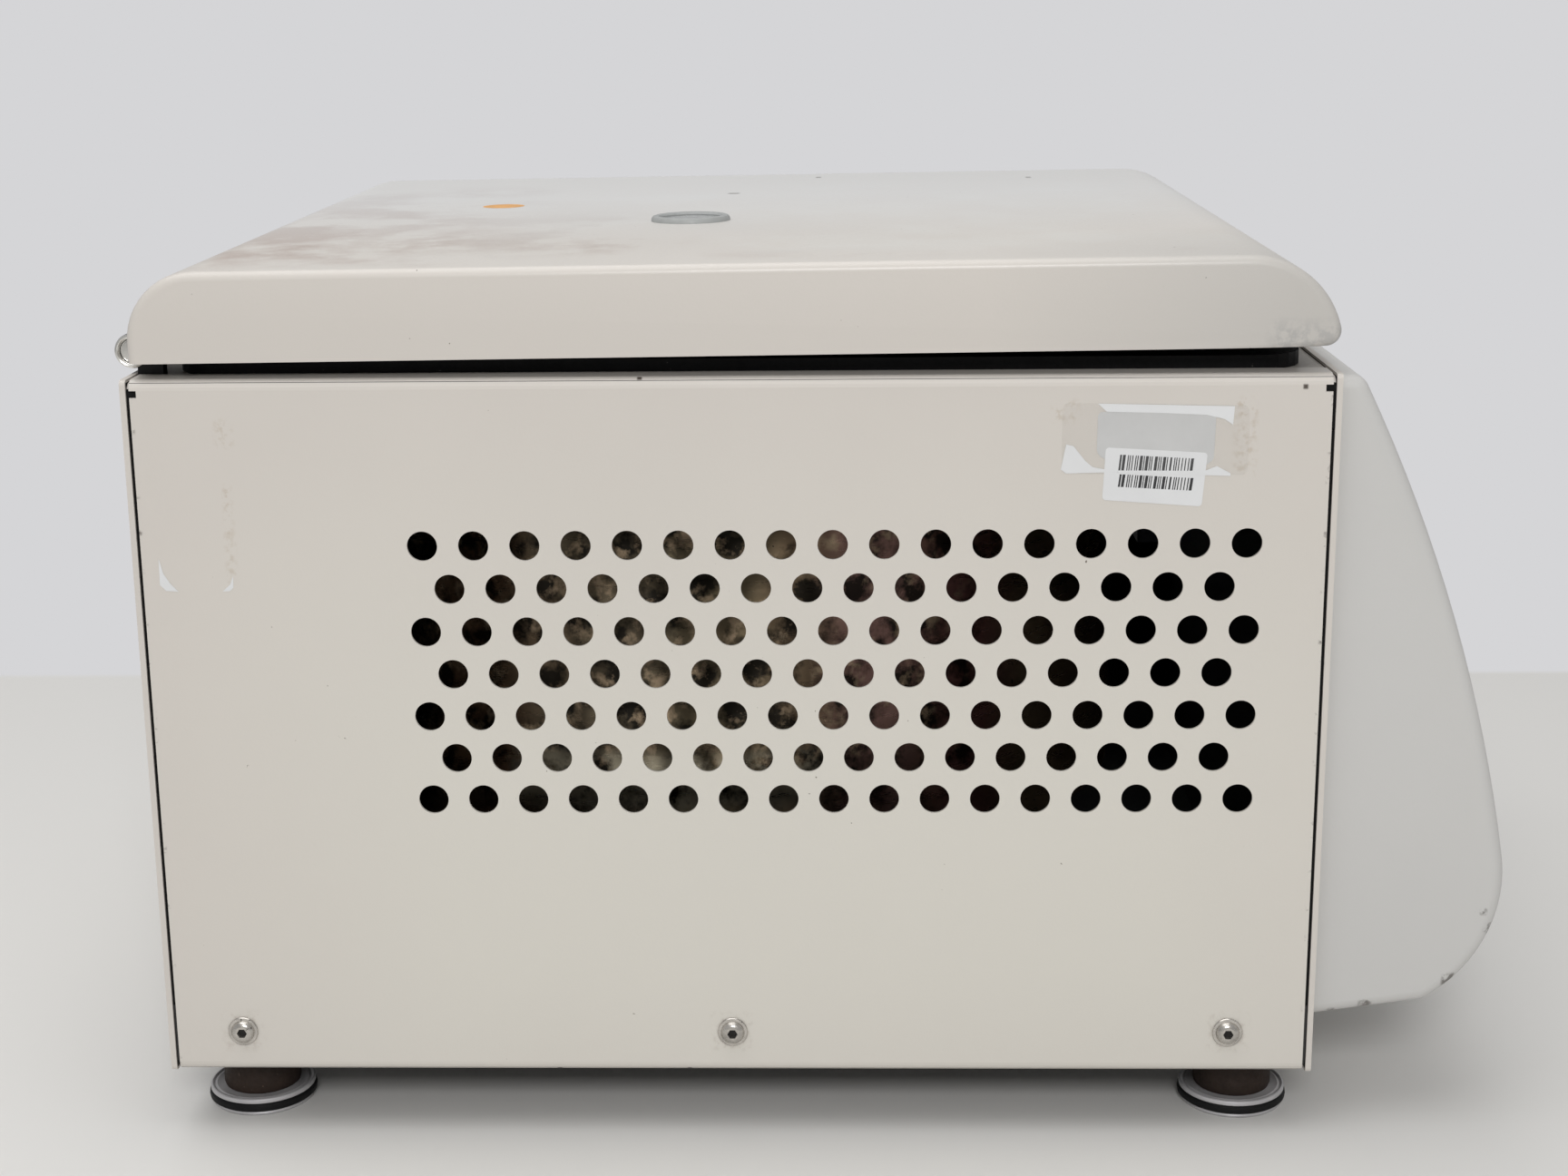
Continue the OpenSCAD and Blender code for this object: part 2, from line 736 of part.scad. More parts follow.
module lid_knuckles() {
    x1 = half_w - ear_in - ear_w - hinge_play;
    x0 = x1 - knuckle_w;
    color("#a9abae") as_ajar() for (s = [left, right]) {
        difference() {
            union() {
                translate([s * (x0 + x1) / 2, hinge_y, hinge_z]) bar_x(hinge_d, knuckle_w);
                block([s > 0 ? x0 : -x1, hinge_y - knuckle_l, hinge_z - 1],
                      [s > 0 ? x1 : -x0, hinge_y, hinge_z + 6]);
                block([s > 0 ? x0 : -x1, hinge_y - knuckle_l, hinge_z],
                      [s > 0 ? x1 : -x0, hinge_y - knuckle_l + 4, lid_top - lid_wall - 0.1]);
            }
            translate([s * (x0 + x1) / 2, hinge_y, hinge_z]) bar_x(rod_d + 2 * run_fit, knuckle_w + 2);
        }
    }
}

module lid_strikers() {
    color("#b5b7b9") as_ajar() for (s = [left, right]) translate([s * striker_x, hook_y, 0]) {
        for (t = [left, right]) translate([t * striker_w / 2, 0, bar_drop_z])
            cylinder(d = striker_d, h = liner_z - bar_drop_z);
        translate([0, 0, bar_drop_z]) bar_x(striker_d, striker_w + striker_d);
    }
}

// Hinge, fixed side

module hinge_rod() {
    color("#d8d9da") translate([0, hinge_y, hinge_z]) bar_x(rod_d, body_w - 2 * ear_in);
}

module hinge_ears() {
    color("#85878b") for (s = [left, right]) {
        x = s * (half_w - ear_in - ear_w / 2);
        difference() {
            union() {
                translate([x, hinge_y, hinge_z]) bar_x(hinge_d, ear_w);
                block([x - ear_w / 2, hinge_y - ear_l, deck_top], [x + ear_w / 2, inner_rear - 0.2, hinge_z]);
            }
            translate([x, hinge_y, hinge_z]) bar_x(rod_d + 2 * run_fit, ear_w + 2);
        }
    }
}

// Chamber

module rounded_plate(x, y0, y1, r, h) {
    linear_extrude(h) polygon(concat(
        arc(x - r, y0 + r, r, -90, 0, 6),
        arc(x - r, y1 - r, r, 0, 90, 6),
        arc(r - x, y1 - r, r, 90, 180, 6),
        arc(r - x, y0 + r, r, 180, 270, 6)
    ));
}

module chamber_seal() {
    y0 = front_y + 11;
    color("#121212") translate([0, 0, deck_top]) difference() {
        rounded_plate(liner_x, y0, seal_rear, 24, liner_z - seal_gap - deck_top);
        translate([0, 0, -1]) rounded_plate(liner_x - seal_w, y0 + seal_w, seal_rear - seal_w, 12, 20);
    }
}

module chamber_bowl() {
    color("#b8babc") translate([0, rotor_y, 0]) difference() {
        union() {
            translate([0, 0, bowl_floor - bowl_t]) cylinder(r = bowl_r + bowl_t, h = bowl_depth + bowl_t);
            translate([0, 0, deck_top]) cylinder(r = bowl_r + bowl_flange, h = bowl_t);
        }
        translate([0, 0, bowl_floor]) cylinder(r = bowl_r, h = bowl_depth + bowl_t + 1);
        translate([0, 0, bowl_floor - bowl_t - 1]) cylinder(r = neck_r + 8, h = bowl_t + 2);
    }
}

module guard_ring() {
    color("#a39a5c") translate([0, rotor_y, guard_z]) tube(guard_r + guard_t, guard_r, guard_h);
}

module guard_posts() {
    color("#9a9ca0") for (a = [45 : 90 : 315])
        translate([(guard_r + guard_t / 2) * cos(a), rotor_y + (guard_r + guard_t / 2) * sin(a), base_top])
            cylinder(d = post_d, h = guard_z - base_top);
}

module shaft_seal() {
    color("#1c1c1c") translate([0, rotor_y, bowl_floor - bowl_t - 4]) difference() {
        union() {
            cylinder(r = neck_r + 14, h = 4);
            cylinder(r = neck_r + 8 - run_fit, h = 4 + bowl_t + 3);
        }
        translate([0, 0, -1]) cylinder(r = shaft_d / 2 + 1.5, h = 20);
    }
}

// Drive

module motor_plate() {
    color("#7d8086") translate([0, rotor_y, plate_z]) cylinder(r = mount_pcr + mount_d / 2 + 4, h = plate_t);
}

module rubber_mounts() {
    color("#222222") for (a = [0 : 120 : 240])
        translate([mount_pcr * cos(a), rotor_y + mount_pcr * sin(a), mount_z]) cylinder(d = mount_d, h = mount_h);
}

module motor_can() {
    color("#3c3f45") translate([0, rotor_y, motor_z]) difference() {
        cylinder(r = motor_r, h = motor_h - 8);
        translate([0, 0, 8]) cylinder(r = motor_r - motor_wall, h = motor_h);
        translate([0, 0, -1]) cylinder(d = shaft_d + 4, h = 20);
        translate([0, 0, 3]) cylinder(d = bearing_d, h = 20);
    }
}

module motor_cap() {
    color("#54575d") translate([0, rotor_y, motor_top - 8]) difference() {
        cylinder(r = motor_r, h = 8);
        translate([0, 0, -1]) cylinder(d = bearing_d, h = 6);
        translate([0, 0, -1]) cylinder(d = shaft_d + 4, h = 20);
    }
}

core_z = motor_z + (motor_h - core_h) / 2;

module motor_stator() {
    color("#8a5a30") translate([0, rotor_y, core_z])
        tube(motor_r - motor_wall - run_fit, core_r + air_gap, core_h);
}

module bearing() {
    tube(bearing_d / 2 - run_fit, shaft_d / 2 + run_fit, bearing_w);
}

module lower_bearing() {
    color("#c0c2c6") translate([0, rotor_y, motor_z + 3]) bearing();
}

module upper_bearing() {
    color("#c0c2c6") translate([0, rotor_y, motor_top - 3 - bearing_w]) bearing();
}

shaft_top = hub_top + 9;

module motor_shaft() {
    color("#d0d2d5") translate([0, rotor_y, motor_z + 2]) cylinder(d = shaft_d, h = shaft_top - motor_z - 2);
}

module motor_core() {
    color("#77797d") translate([0, rotor_y, core_z]) tube(core_r, shaft_d / 2 + run_fit, core_h);
}

// Rotor

module rotor_yoke() {
    y = bar_y + bar_t;
    x = trunnion_r + bar_h * 0.7;
    color("#9da0a4") translate([0, rotor_y, 0]) difference() {
        union() {
            block([-x, bar_y, bar_z], [x, y, hub_top]);
            block([-x, -y, bar_z], [x, -bar_y, hub_top]);
            block([-hub_x + 6, -bar_y - eps, bar_z + 2], [hub_x - 6, bar_y + eps, hub_top - 2]);
            translate([0, 0, bar_z]) cylinder(r = hub_r, h = bar_h);
            translate([0, 0, bar_z - neck_h]) cylinder(r = neck_r, h = neck_h + 1);
        }
        translate([0, 0, bar_z - neck_h - 1]) cylinder(d = shaft_d + 2 * run_fit, h = neck_h + bar_h + 2);
        for (s = [left, right]) translate([s * trunnion_r, -y - 1, trunnion_z]) bar_y_from(trunnion_d + 2 * run_fit, 2 * y + 2);
    }
}

module trunnion_pins() {
    inner = carrier_l / 2 + 0.3;
    color("#d5d6d8") translate([0, rotor_y, trunnion_z]) for (s = [left, right]) {
        translate([s * trunnion_r, inner, 0]) bar_y_from(trunnion_d, bar_y + bar_t - inner);
        translate([s * trunnion_r, -bar_y - bar_t, 0]) bar_y_from(trunnion_d, bar_y + bar_t - inner);
    }
}

module rotor_nut() {
    color("#2c2d30") translate([0, rotor_y, hub_top]) difference() {
        cylinder(r = nut_r, h = nut_h);
        translate([0, 0, -1]) cylinder(d = shaft_d + 2 * run_fit, h = shaft_top - hub_top + 1.2);
        for (a = [0 : 45 : 315]) rotate([0, 0, a]) translate([nut_r + 1, 0, -1]) cylinder(r = 3, h = nut_h + 2);
    }
}

module carrier() {
    l = carrier_l / 2;
    w = carrier_w / 2;
    difference() {
        union() {
            block([-w - carrier_wall, -l - carrier_wall, -carrier_drop], [w + carrier_wall, l + carrier_wall, carrier_rise]);
            translate([0, -l - carrier_wall - boss_t, 0]) bar_y_from(boss_d, carrier_l + 2 * (carrier_wall + boss_t));
        }
        block([-w, -l, carrier_wall - carrier_drop], [w, l, boss_d]);
        translate([0, -l - 20, 0]) bar_y_from(trunnion_d + 2 * run_fit, carrier_l + 40);
        for (s = [left, right]) translate([s * w, 0, -carrier_drop * 0.45])
            bar_x(carrier_drop * 0.5, 4 * carrier_wall);
    }
}

module right_carrier() {
    color("#7f98ab") translate([trunnion_r, rotor_y, trunnion_z]) carrier();
}

module left_carrier() {
    color("#7f98ab") translate([-trunnion_r, rotor_y, trunnion_z]) carrier();
}

// Lid lock

module lock_bracket() {
    x = bracket_x;
    color("#6f7276") difference() {
        union() {
            block([-x, bracket_front, bracket_z], [x, bracket_rear, bracket_z + bracket_t]);
            block([-x, bracket_front, bracket_z], [bracket_t - x, bracket_rear, deck_under]);
            block([x - bracket_t, bracket_front, bracket_z], [x, bracket_rear, deck_under]);
        }
        translate([0, lock_y, lock_z]) bar_x(lock_shaft_d + 2 * run_fit, 2 * x + 2);
        translate([0, lever_y, bracket_z - 1]) cylinder(d = plunger_d + 1, h = bracket_t + 2);
    }
}

// A hook in its locked place: an arm with a nose over the striker's bar, in (Y, Z) about the shaft.
module hook_plate() {
    reach = nose_under - lock_z;
    bar_x(lock_shaft_d + 9, hook_t);
    along_x([[-arm_w / 2, 0], [arm_w / 2, 0], [arm_w / 2, reach], [nose_l, reach],
             [nose_l, reach + nose_t - 2], [nose_l - 3, reach + nose_t],
             [3 - arm_w / 2, reach + nose_t], [-arm_w / 2, reach + nose_t - 3]], hook_t);
}

// The lever in its locked place, pointing to the rear, with its pin.
module lock_lever() {
    rotate([-hook_swing / 2, 0, 0]) {
        bar_x(lock_shaft_d + 7, hook_t);
        along_x([[0, -4], [lever_r, -4], [lever_r, 4], [0, 4]], hook_t);
        translate([0, lever_r, 0]) bar_x(8, hook_t);
        translate([0, lever_r, 0]) bar_x(lever_pin_d, hook_t + 8);
    }
}

module lock_shaft() {
    color("#a5a7ab") translate([0, lock_y, lock_z]) rotate([hook_swing, 0, 0]) {
        bar_x(lock_shaft_d, 2 * bracket_x + 6);
        for (s = [left, right]) translate([s * striker_x, 0, 0]) hook_plate();
        lock_lever();
    }
}

module lock_plunger() {
    w = hook_t + 8;
    z = lever_rest_z;
    color("#b9bbbe") translate([0, lever_y, 0]) difference() {
        union() {
            block([-w / 2 - 1, -7, z - fork_h / 2], [w / 2 + 1, 7, z + fork_h / 2]);
            translate([0, 0, bracket_z - solenoid_h + 14]) cylinder(d = plunger_d, h = z - bracket_z + solenoid_h - 14 - fork_h / 2 + eps);
        }
        block([-hook_t / 2 - 0.6, -10, z - fork_h / 2 + 1.2], [hook_t / 2 + 0.6, 10, z + fork_h]);
        for (y = [-1.2, 1.2]) translate([0, y, z]) bar_x(lever_pin_d + 1.2, 2 * w);
        block([-w, -1.2, z - lever_pin_d / 2 - 0.6], [w, 1.2, z + lever_pin_d / 2 + 0.6]);
    }
}

module lock_solenoid() {
    z = bracket_z - solenoid_h;
    color("#2f4a6b") translate([0, lever_y, 0]) difference() {
        block([-16, -14, z], [16, 14, bracket_z]);
        translate([0, 0, z + 4]) cylinder(d = plunger_d + 2 * run_fit, h = solenoid_h);
    }
}

// One unbroken coil of round wire about Z, from z = 0 to z = h, between wire centres.
function coil_point(r, h, turns, t) = [r * cos(360 * turns * t), r * sin(360 * turns * t), h * t];

module coil(r, wire, h, turns, rings, sides) {
    n = turns * rings;
    slope = atan2(h, 2 * PI * r * turns);
    points = [for (i = [0 : n]) let (t = i / n, a = 360 * turns * t, c = coil_point(r, h, turns, t))
        for (k = [0 : sides - 1]) let (b = 360 * k / sides, out = wire / 2 * cos(b), up = wire / 2 * sin(b))
            c + [out * cos(a) + up * sin(slope) * sin(a), out * sin(a) - up * sin(slope) * cos(a),
                 up * cos(slope)]];
    walls = [for (i = [0 : n - 1], k = [0 : sides - 1]) let (a = i * sides + k, b = i * sides + (k + 1) % sides)
        each [[a, a + sides, b], [b, a + sides, b + sides]]];
    last = n * sides;
    caps = concat([for (k = [1 : sides - 2]) [0, k, k + 1]],
                  [for (k = [1 : sides - 2]) [last, last + k + 1, last + k]]);
    polyhedron(points = points, faces = concat(walls, caps), convexity = 10);
    echo(coil_gap = h / turns * cos(slope) - wire);
}

lock_spring_z = bracket_z + bracket_t;
lock_spring_h = lever_rest_z - fork_h / 2 - lock_spring_z;

module lock_spring() {
    color("#d0d0d0") translate([0, lever_y, lock_spring_z + lock_wire / 2 + 0.1])
        coil(plunger_d / 2 + lock_wire / 2 + 0.5, lock_wire, lock_spring_h - lock_wire - 0.2, lock_curls, 8, 6);
}

// Front cover, in (reach ahead of the housing, height above the bottom edge of the panels)

chin_u = cover_reach - chin_r;
face_u = chin_u - (face_r - chin_r) * cos(chin_turn);
face_v = chin_h - (face_r - chin_r) * sin(chin_turn);
cover_top = body_h - cover_top_gap;
brow_v = cover_top - brow_r;
brow_u = face_u + sqrt(pow(face_r - brow_r, 2) - pow(brow_v - face_v, 2));
brow_turn = asin((brow_v - face_v) / (face_r - brow_r));

// Side outline of the cover, drawn in by i except at the back.
function cover_outline(i) = [for (p = concat(
    [[0, cover_low + i]],
    arc(chin_u, chin_h, chin_r - i, chin_end, chin_turn, 10),
    arc(face_u, face_v, face_r - i, chin_turn, brow_turn, 10),
    arc(brow_u, brow_v, brow_r - i, brow_turn, 90, 5),
    [[0, cover_top - i]]
)) [front_y - p[0], base_z + p[1]]];

// Places children on the cover's face, with +Z out of it and +Y up along it.
module on_face(v, x) {
    a = asin((v - face_v) / face_r);
    translate([x, front_y - face_u - face_r * cos(a), base_z + v]) rotate([90 - a, 0, 0]) children();
}

module on_display() {
    on_face(display_h, 0) children();
}

display_a = asin((display_h - face_v) / face_r);
keys_a = asin((keys_h - face_v) / face_r);
switch_h = 4;
key_y = -(face_r - board_in + switch_h) * sin(display_a - keys_a);
key_sag = face_r * (1 - cos(display_a - keys_a));
boss_x = 88;

module cover_holes() {
    on_display() {
        translate([-display_w / 2, -display_l / 2, -10]) cube([display_w, display_l, 20]);
        translate([knob_x, key_y / 2, -10]) cylinder(d = 7.4, h = 20);
    }
    for (i = [-1 : 1]) on_face(keys_h, i * key_pitch)
        translate([0, 0, -10]) cylinder(d = key_d + 2 * key_fit, h = 20);
}

module front_cover() {
    color("#c3c4c0") difference() {
        union() {
            difference() {
                hull() for (t = [0 : 30 : 90])
                    along_x(cover_outline(cover_edge_r * (1 - cos(t))), cover_w - 2 * cover_edge_r * (1 - sin(t)));
                difference() {
                    along_x(cover_outline(cover_wall), cover_w - 2 * cover_wall);
                    block([-cover_w, front_y - 1.2, 0], [cover_w, front_y + 5, deck_z]);
                }
                for (y = [front_y]) block([-cover_w / 2 + 12, y - 2, cover_bottom + 12],
                                          [cover_w / 2 - 12, y + 1, base_z + cover_top - 12]);
            }
            on_display() for (x = [-boss_x, boss_x], y = [key_y - 12, 18])
                translate([x, y, board_z]) cylinder(d = 8, h = board_in - 1.6);
        }
        cover_holes();
    }
}

module display_window() {
    color("#20262a") on_display() {
        translate([-display_w / 2 + 0.2, -display_l / 2 + 0.2, -cover_wall - 3.3])
            cube([display_w - 0.4, display_l - 0.4, cover_wall + 3.6]);
        translate([-display_w / 2 - 4, -display_l / 2 - 4, -cover_wall - 3.3])
            cube([display_w + 8, display_l + 8, 2.7]);
    }
}

switch_z = board_z + switch_h;

module control_board() {
    color("#2f5b3a") on_display() {
        translate([-boss_x - 8, key_y - 20, board_z - board_t]) cube([knob_x + 18 + boss_x + 8, 48 - key_y, board_t]);
        for (i = [-1 : 1]) translate([i * key_pitch - 3, key_y - 3, board_z - eps]) cube([6, 6, switch_z - board_z]);
        translate([-display_w / 2, -display_l / 2 + 2, board_z - eps])
            cube([display_w, display_l - 4, board_in - cover_wall - 3.3]);
    }
}

module key(i) {
    stem = key_sag + switch_z + key_travel + 0.5;
    on_face(keys_h, i * key_pitch) {
        translate([0, 0, -cover_wall - 2]) cylinder(d = key_d, h = cover_wall + 2 + key_rise);
        translate([0, 0, -cover_wall - 2]) cylinder(d = key_d + 4, h = 1.6);
        translate([0, 0, stem]) cylinder(d = 6, h = -cover_wall - 1.9 - stem);
    }
}

module start_key() {
    color("#5f8f63") key(-1);
}

module stop_key() {
    color("#a8483e") key(0);
}

module lid_key() {
    color("#6d7a86") key(1);
}

module speed_encoder() {
    color("#3a3d40") on_display() translate([knob_x, key_y / 2, board_z]) difference() {
        union() {
            translate([-6.5, -6.5, 0]) cube([13, 13, 7]);
            cylinder(d = 7, h = board_in - 1);
        }
        translate([0, 0, 4]) cylinder(d = 5 + 2 * run_fit, h = 30);
    }
}

module speed_knob() {
    color("#2a2c2e") on_display() translate([knob_x, key_y / 2, 0]) {
        difference() {
            translate([0, 0, 1.2]) cylinder(d = knob_d, h = knob_h);
            for (a = [0 : 20 : 340]) rotate([0, 0, a]) translate([knob_d / 2 + 0.6, 0, 3]) cylinder(d = 2.4, h = knob_h);
        }
        translate([0, 0, 5 - board_in]) cylinder(d = 5, h = board_in - 5 + 2);
    }
}

// Rear fittings

module on_rear(n) {
    translate([-inlet_x + n * fitting_pitch, rear_y, base_z + socket_h]) children();
}

module mains_inlet() {
    color("#1e1f21") on_rear(0) difference() {
        union() {
            block([-24, 0, -14], [24, 2.5, 14]);
            block([-14.2, -inlet_deep - 5, -10.8], [14.2, eps, 10.8]);
        }
        block([-12.2, -inlet_deep, -8.2], [12.2, 5, 8.2]);
        for (x = [-7, 0, 7]) block([x - 1.1, -inlet_deep - 6, (x == 0 ? 1.4 : -3.6)], [x + 1.1, 5, (x == 0 ? 5.6 : 0.6)]);
    }
}

module inlet_pins() {
    color("#d9c77a") on_rear(0) for (x = [-7, 0, 7])
        block([x - 1, -inlet_deep - 10, (x == 0 ? 1.5 : -3.5)], [x + 1, -2, (x == 0 ? 5.5 : 0.5)]);
}

module switch_frame() {
    color("#1a1b1d") on_rear(1) difference() {
        union() {
            block([-13, 0, -16.5], [13, 2, 16.5]);
            block([-10.8, -20, -14], [10.8, eps, 14]);
        }
        block([-8.2, -14, -11.2], [8.2, 3, 11.2]);
        translate([0, -3, 0]) bar_x(3.1, 20);
    }
}

module switch_rocker() {
    color("#26282a") on_rear(1) translate([0, -3, 0]) rotate([-rocker_swing, 0, 0]) {
        along_x([[-4, -7], [2.5, -9.6], [6.4, -9.8], [4.6, 0], [6.4, 9.8], [2.5, 9.6], [-4, 7]], 15.6);
        bar_x(3, 19.4);
    }
}

module fuse_holder() {
    color("#17181a") on_rear(2) difference() {
        union() {
            bar_y_from(16, 4);
            translate([0, -30, 0]) bar_y_from(12, 31);
        }
        block([-4, 2.8, -0.7], [4, 6, 0.7]);
    }
}

module at_fan() {
    translate([fan_x, inner_rear, base_z + fan_h]) children();
}

fan_bore = fan_w - 6;

module fan_frame() {
    color("#1d1e20") at_fan() {
        difference() {
            block([-fan_w / 2, -fan_t, -fan_w / 2], [fan_w / 2, 0, fan_w / 2]);
            translate([0, -fan_t - 1, 0]) bar_y_from(fan_bore, fan_t + 2);
        }
        difference() {
            union() {
                translate([0, -fan_t, 0]) bar_y_from(22, 3);
                for (a = [45 : 90 : 315]) rotate([0, a, 0]) block([8, -fan_t, -1.5], [fan_bore / 2 + 1, 3 - fan_t, 1.5]);
            }
            translate([0, -fan_t - 1, 0]) bar_y_from(4 + 2 * run_fit, 6);
        }
    }
}

module fan_rotor() {
    color("#2b2d30") at_fan() {
        translate([0, 4 - fan_t, 0]) bar_y_from(22, fan_t - 7);
        translate([0, -fan_t, 0]) bar_y_from(4, 6);
        for (i = [0 : fan_blades - 1]) rotate([0, 360 * i / fan_blades, 0])
            translate([10, 4 - fan_t + (fan_t - 7) / 2, 0]) rotate([40, 0, 0])
                block([0, -0.8, -6.5], [fan_bore / 2 - 11.5, 0.8, 6.5]);
    }
}

module fan_guard() {
    color("#b4b6b8") at_fan() translate([0, end_t, 0]) {
        for (r = [8, 15, 22]) translate([0, 2, 0]) rotate([-90, 0, 0]) tube(r + 0.8, r - 0.8, 1.6);
        for (a = [45 : 90 : 315]) rotate([0, a, 0]) block([7, 0.6, -0.8], [fan_w / 2 + 8, 2.2, 0.8]);
        for (a = [45 : 90 : 315]) rotate([0, a, 0]) translate([fan_w / 2 + 6, 0, 0]) bar_y_from(7, 2.4);
    }
}

module power_board() {
    w = power_w / 2;
    l = power_l / 2;
    post = power_up;
    color("#2d5a38") translate([inner_w - w - 14, rotor_y - mount_pcr + 2, base_top]) {
        block([-w, -l, power_up], [w, l, power_up + board_t]);
        for (x = [post - w, w - post], y = [post - l, l - post]) translate([x, y, 0]) cylinder(d = post, h = power_up + eps);
        for (x = [-w * 0.64, -w * 0.16]) translate([x, 0, power_up]) cylinder(d = w * 0.4, h = power_h);
        block([w * 0.24, -l * 0.7, power_up], [w * 0.76, l * 0.75, power_h]);
    }
}

left_side_panel();
right_side_panel();
front_panel();
rear_panel();
base_tray();
top_deck();
side_screws();
foot_buffers();
foot_cups();
foot_rings();
foot_discs();
lid_shell();
lid_liner();
lid_window();
window_rim();
lid_knuckles();
lid_strikers();
hinge_rod();
hinge_ears();
chamber_seal();
chamber_bowl();
guard_ring();
guard_posts();
shaft_seal();
motor_plate();
rubber_mounts();
motor_can();
motor_cap();
motor_stator();
lower_bearing();
upper_bearing();
motor_shaft();
motor_core();
rotor_yoke();
trunnion_pins();
rotor_nut();
left_carrier();
right_carrier();
lock_bracket();
lock_shaft();
lock_solenoid();
lock_plunger();
lock_spring();
front_cover();
display_window();
control_board();
start_key();
stop_key();
lid_key();
speed_knob();
speed_encoder();
mains_inlet();
inlet_pins();
switch_frame();
switch_rocker();
fuse_holder();
fan_frame();
fan_rotor();
fan_guard();
power_board();
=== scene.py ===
# %% [markdown]
# # A benchtop microplate centrifuge
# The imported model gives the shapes, the bodies and the joints. This file adds what makes them look
# real: paint with a fine orange peel, bright screws, rubber feet, labels, grime and worn edges.
# Lengths are in metres, the front is -Y and up is +Z.

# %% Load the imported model
import math
import random

import bmesh
import bpy
from mathutils import Matrix, Vector


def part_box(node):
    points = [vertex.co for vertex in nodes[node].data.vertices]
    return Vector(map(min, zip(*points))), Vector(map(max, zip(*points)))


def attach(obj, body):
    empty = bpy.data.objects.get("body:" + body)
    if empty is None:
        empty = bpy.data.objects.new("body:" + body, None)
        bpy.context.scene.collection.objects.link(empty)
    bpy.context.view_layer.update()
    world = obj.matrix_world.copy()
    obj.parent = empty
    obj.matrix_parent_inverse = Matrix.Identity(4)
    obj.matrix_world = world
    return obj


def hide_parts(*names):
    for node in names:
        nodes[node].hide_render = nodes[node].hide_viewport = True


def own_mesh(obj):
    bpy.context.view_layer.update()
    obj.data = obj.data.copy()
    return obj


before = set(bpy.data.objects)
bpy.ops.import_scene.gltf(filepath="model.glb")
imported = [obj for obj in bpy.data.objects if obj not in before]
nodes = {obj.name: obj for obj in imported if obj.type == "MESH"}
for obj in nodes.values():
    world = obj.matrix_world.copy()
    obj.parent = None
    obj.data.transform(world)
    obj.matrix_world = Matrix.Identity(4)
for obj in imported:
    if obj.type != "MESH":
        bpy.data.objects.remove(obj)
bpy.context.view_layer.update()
MM = 0.001

# %% [markdown]
# ## Sizes that the pieces share
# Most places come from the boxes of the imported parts, so that a new piece sits where the part sits.
# The few sizes below are those of the real panels and lid.

# %% Shared sizes
panel_low, panel_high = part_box("right_side_panel")
half_w = panel_high[0]
base_z, deck_z = panel_low[2], panel_high[2]
front_y, rear_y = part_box("front_panel")[0][1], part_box("rear_panel")[1][1]
mid_y, mid_z = (front_y + rear_y) / 2, (base_z + deck_z) / 2
rod_low, rod_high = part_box("hinge_rod")
hinge_y, hinge_z = (rod_low[1] + rod_high[1]) / 2, (rod_low[2] + rod_high[2]) / 2
bowl_low, bowl_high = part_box("chamber_bowl")
rotor_y = (bowl_low[1] + bowl_high[1]) / 2
lid_gap, lid_h = 6.8 * MM, 38.5 * MM
lid_z = deck_z + lid_gap
lid_top = lid_z + lid_h
lid_corner_y = front_y + 14 * MM
AJAR = math.radians(0.5)
rim_low, rim_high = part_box("window_rim")
window_at = ((rim_low[0] + rim_high[0]) / 2, rotor_y, lid_top)
print("hinge", round(hinge_y, 4), round(hinge_z, 4), "rotor", round(rotor_y, 4))

# %% [markdown]
# ## The camera
# The photograph was taken from the left side at about the height of the lid, looking slightly down.
# Its lens and place were worked out from the vent holes, which lie on a regular grid.

# %% Camera
camera = bpy.data.objects.new("camera", bpy.data.cameras.new("camera"))
camera.data.lens = 55.21
camera.data.sensor_width = 36
camera.location = (-1.2412, -0.0117, 0.5064)
camera.rotation_euler = [math.radians(a) for a in (75.900, 0.554, -88.603)]
camera.data.clip_start, camera.data.clip_end = 0.01, 60
bpy.context.collection.objects.link(camera)
bpy.context.scene.camera = camera
print("camera", round(-half_w - camera.location.x, 3), "m from the left side")

# %% [markdown]
# ## Node tools
# A material is a small tree of nodes. These helpers keep the trees short: one adds a node with its
# values and links, and the others stand for the few kinds of node that come again and again.

# %% Node helpers
def add(tree, kind, inputs=None, **props):
    """Adds a shader node. Inputs are sockets to link or plain values."""
    node = tree.nodes.new("ShaderNode" + kind)
    for key, value in props.items():
        setattr(node, key, value)
    for key, value in (inputs or {}).items():
        if isinstance(value, bpy.types.NodeSocket):
            tree.links.new(value, node.inputs[key])
        else:
            node.inputs[key].default_value = value
    return node


def mixed(tree, mask, a, b):
    """A colour between a and b, which are sockets or (r, g, b)."""
    a, b = (c if isinstance(c, bpy.types.NodeSocket) else (*c, 1) for c in (a, b))
    return add(tree, "Mix", {0: mask, 6: a, 7: b}, data_type="RGBA").outputs[2]


def ranged(tree, value, low, high, to_low=0.0, to_high=1.0):
    """The value stretched from low..high to to_low..to_high and held there."""
    return add(tree, "MapRange", {0: value, 1: low, 2: high, 3: to_low, 4: to_high}).outputs[0]


def maths(tree, op, a, b=0.0):
    return add(tree, "Math", {0: a, 1: b}, operation=op).outputs[0]


def vector(tree, op, a, b=(0, 0, 0)):
    return add(tree, "VectorMath", {0: a, 1: b}, operation=op).outputs[0]


def distance(tree, place):
    """How far a point is from the origin of its coordinates."""
    return add(tree, "VectorMath", {0: place}, operation="LENGTH").outputs["Value"]


def noise(tree, place, scale, detail=2.0, rough=0.5):
    values = {"Vector": place, "Scale": scale, "Detail": detail, "Roughness": rough}
    return add(tree, "TexNoise", values).outputs["Fac"]


print("node helpers ready")

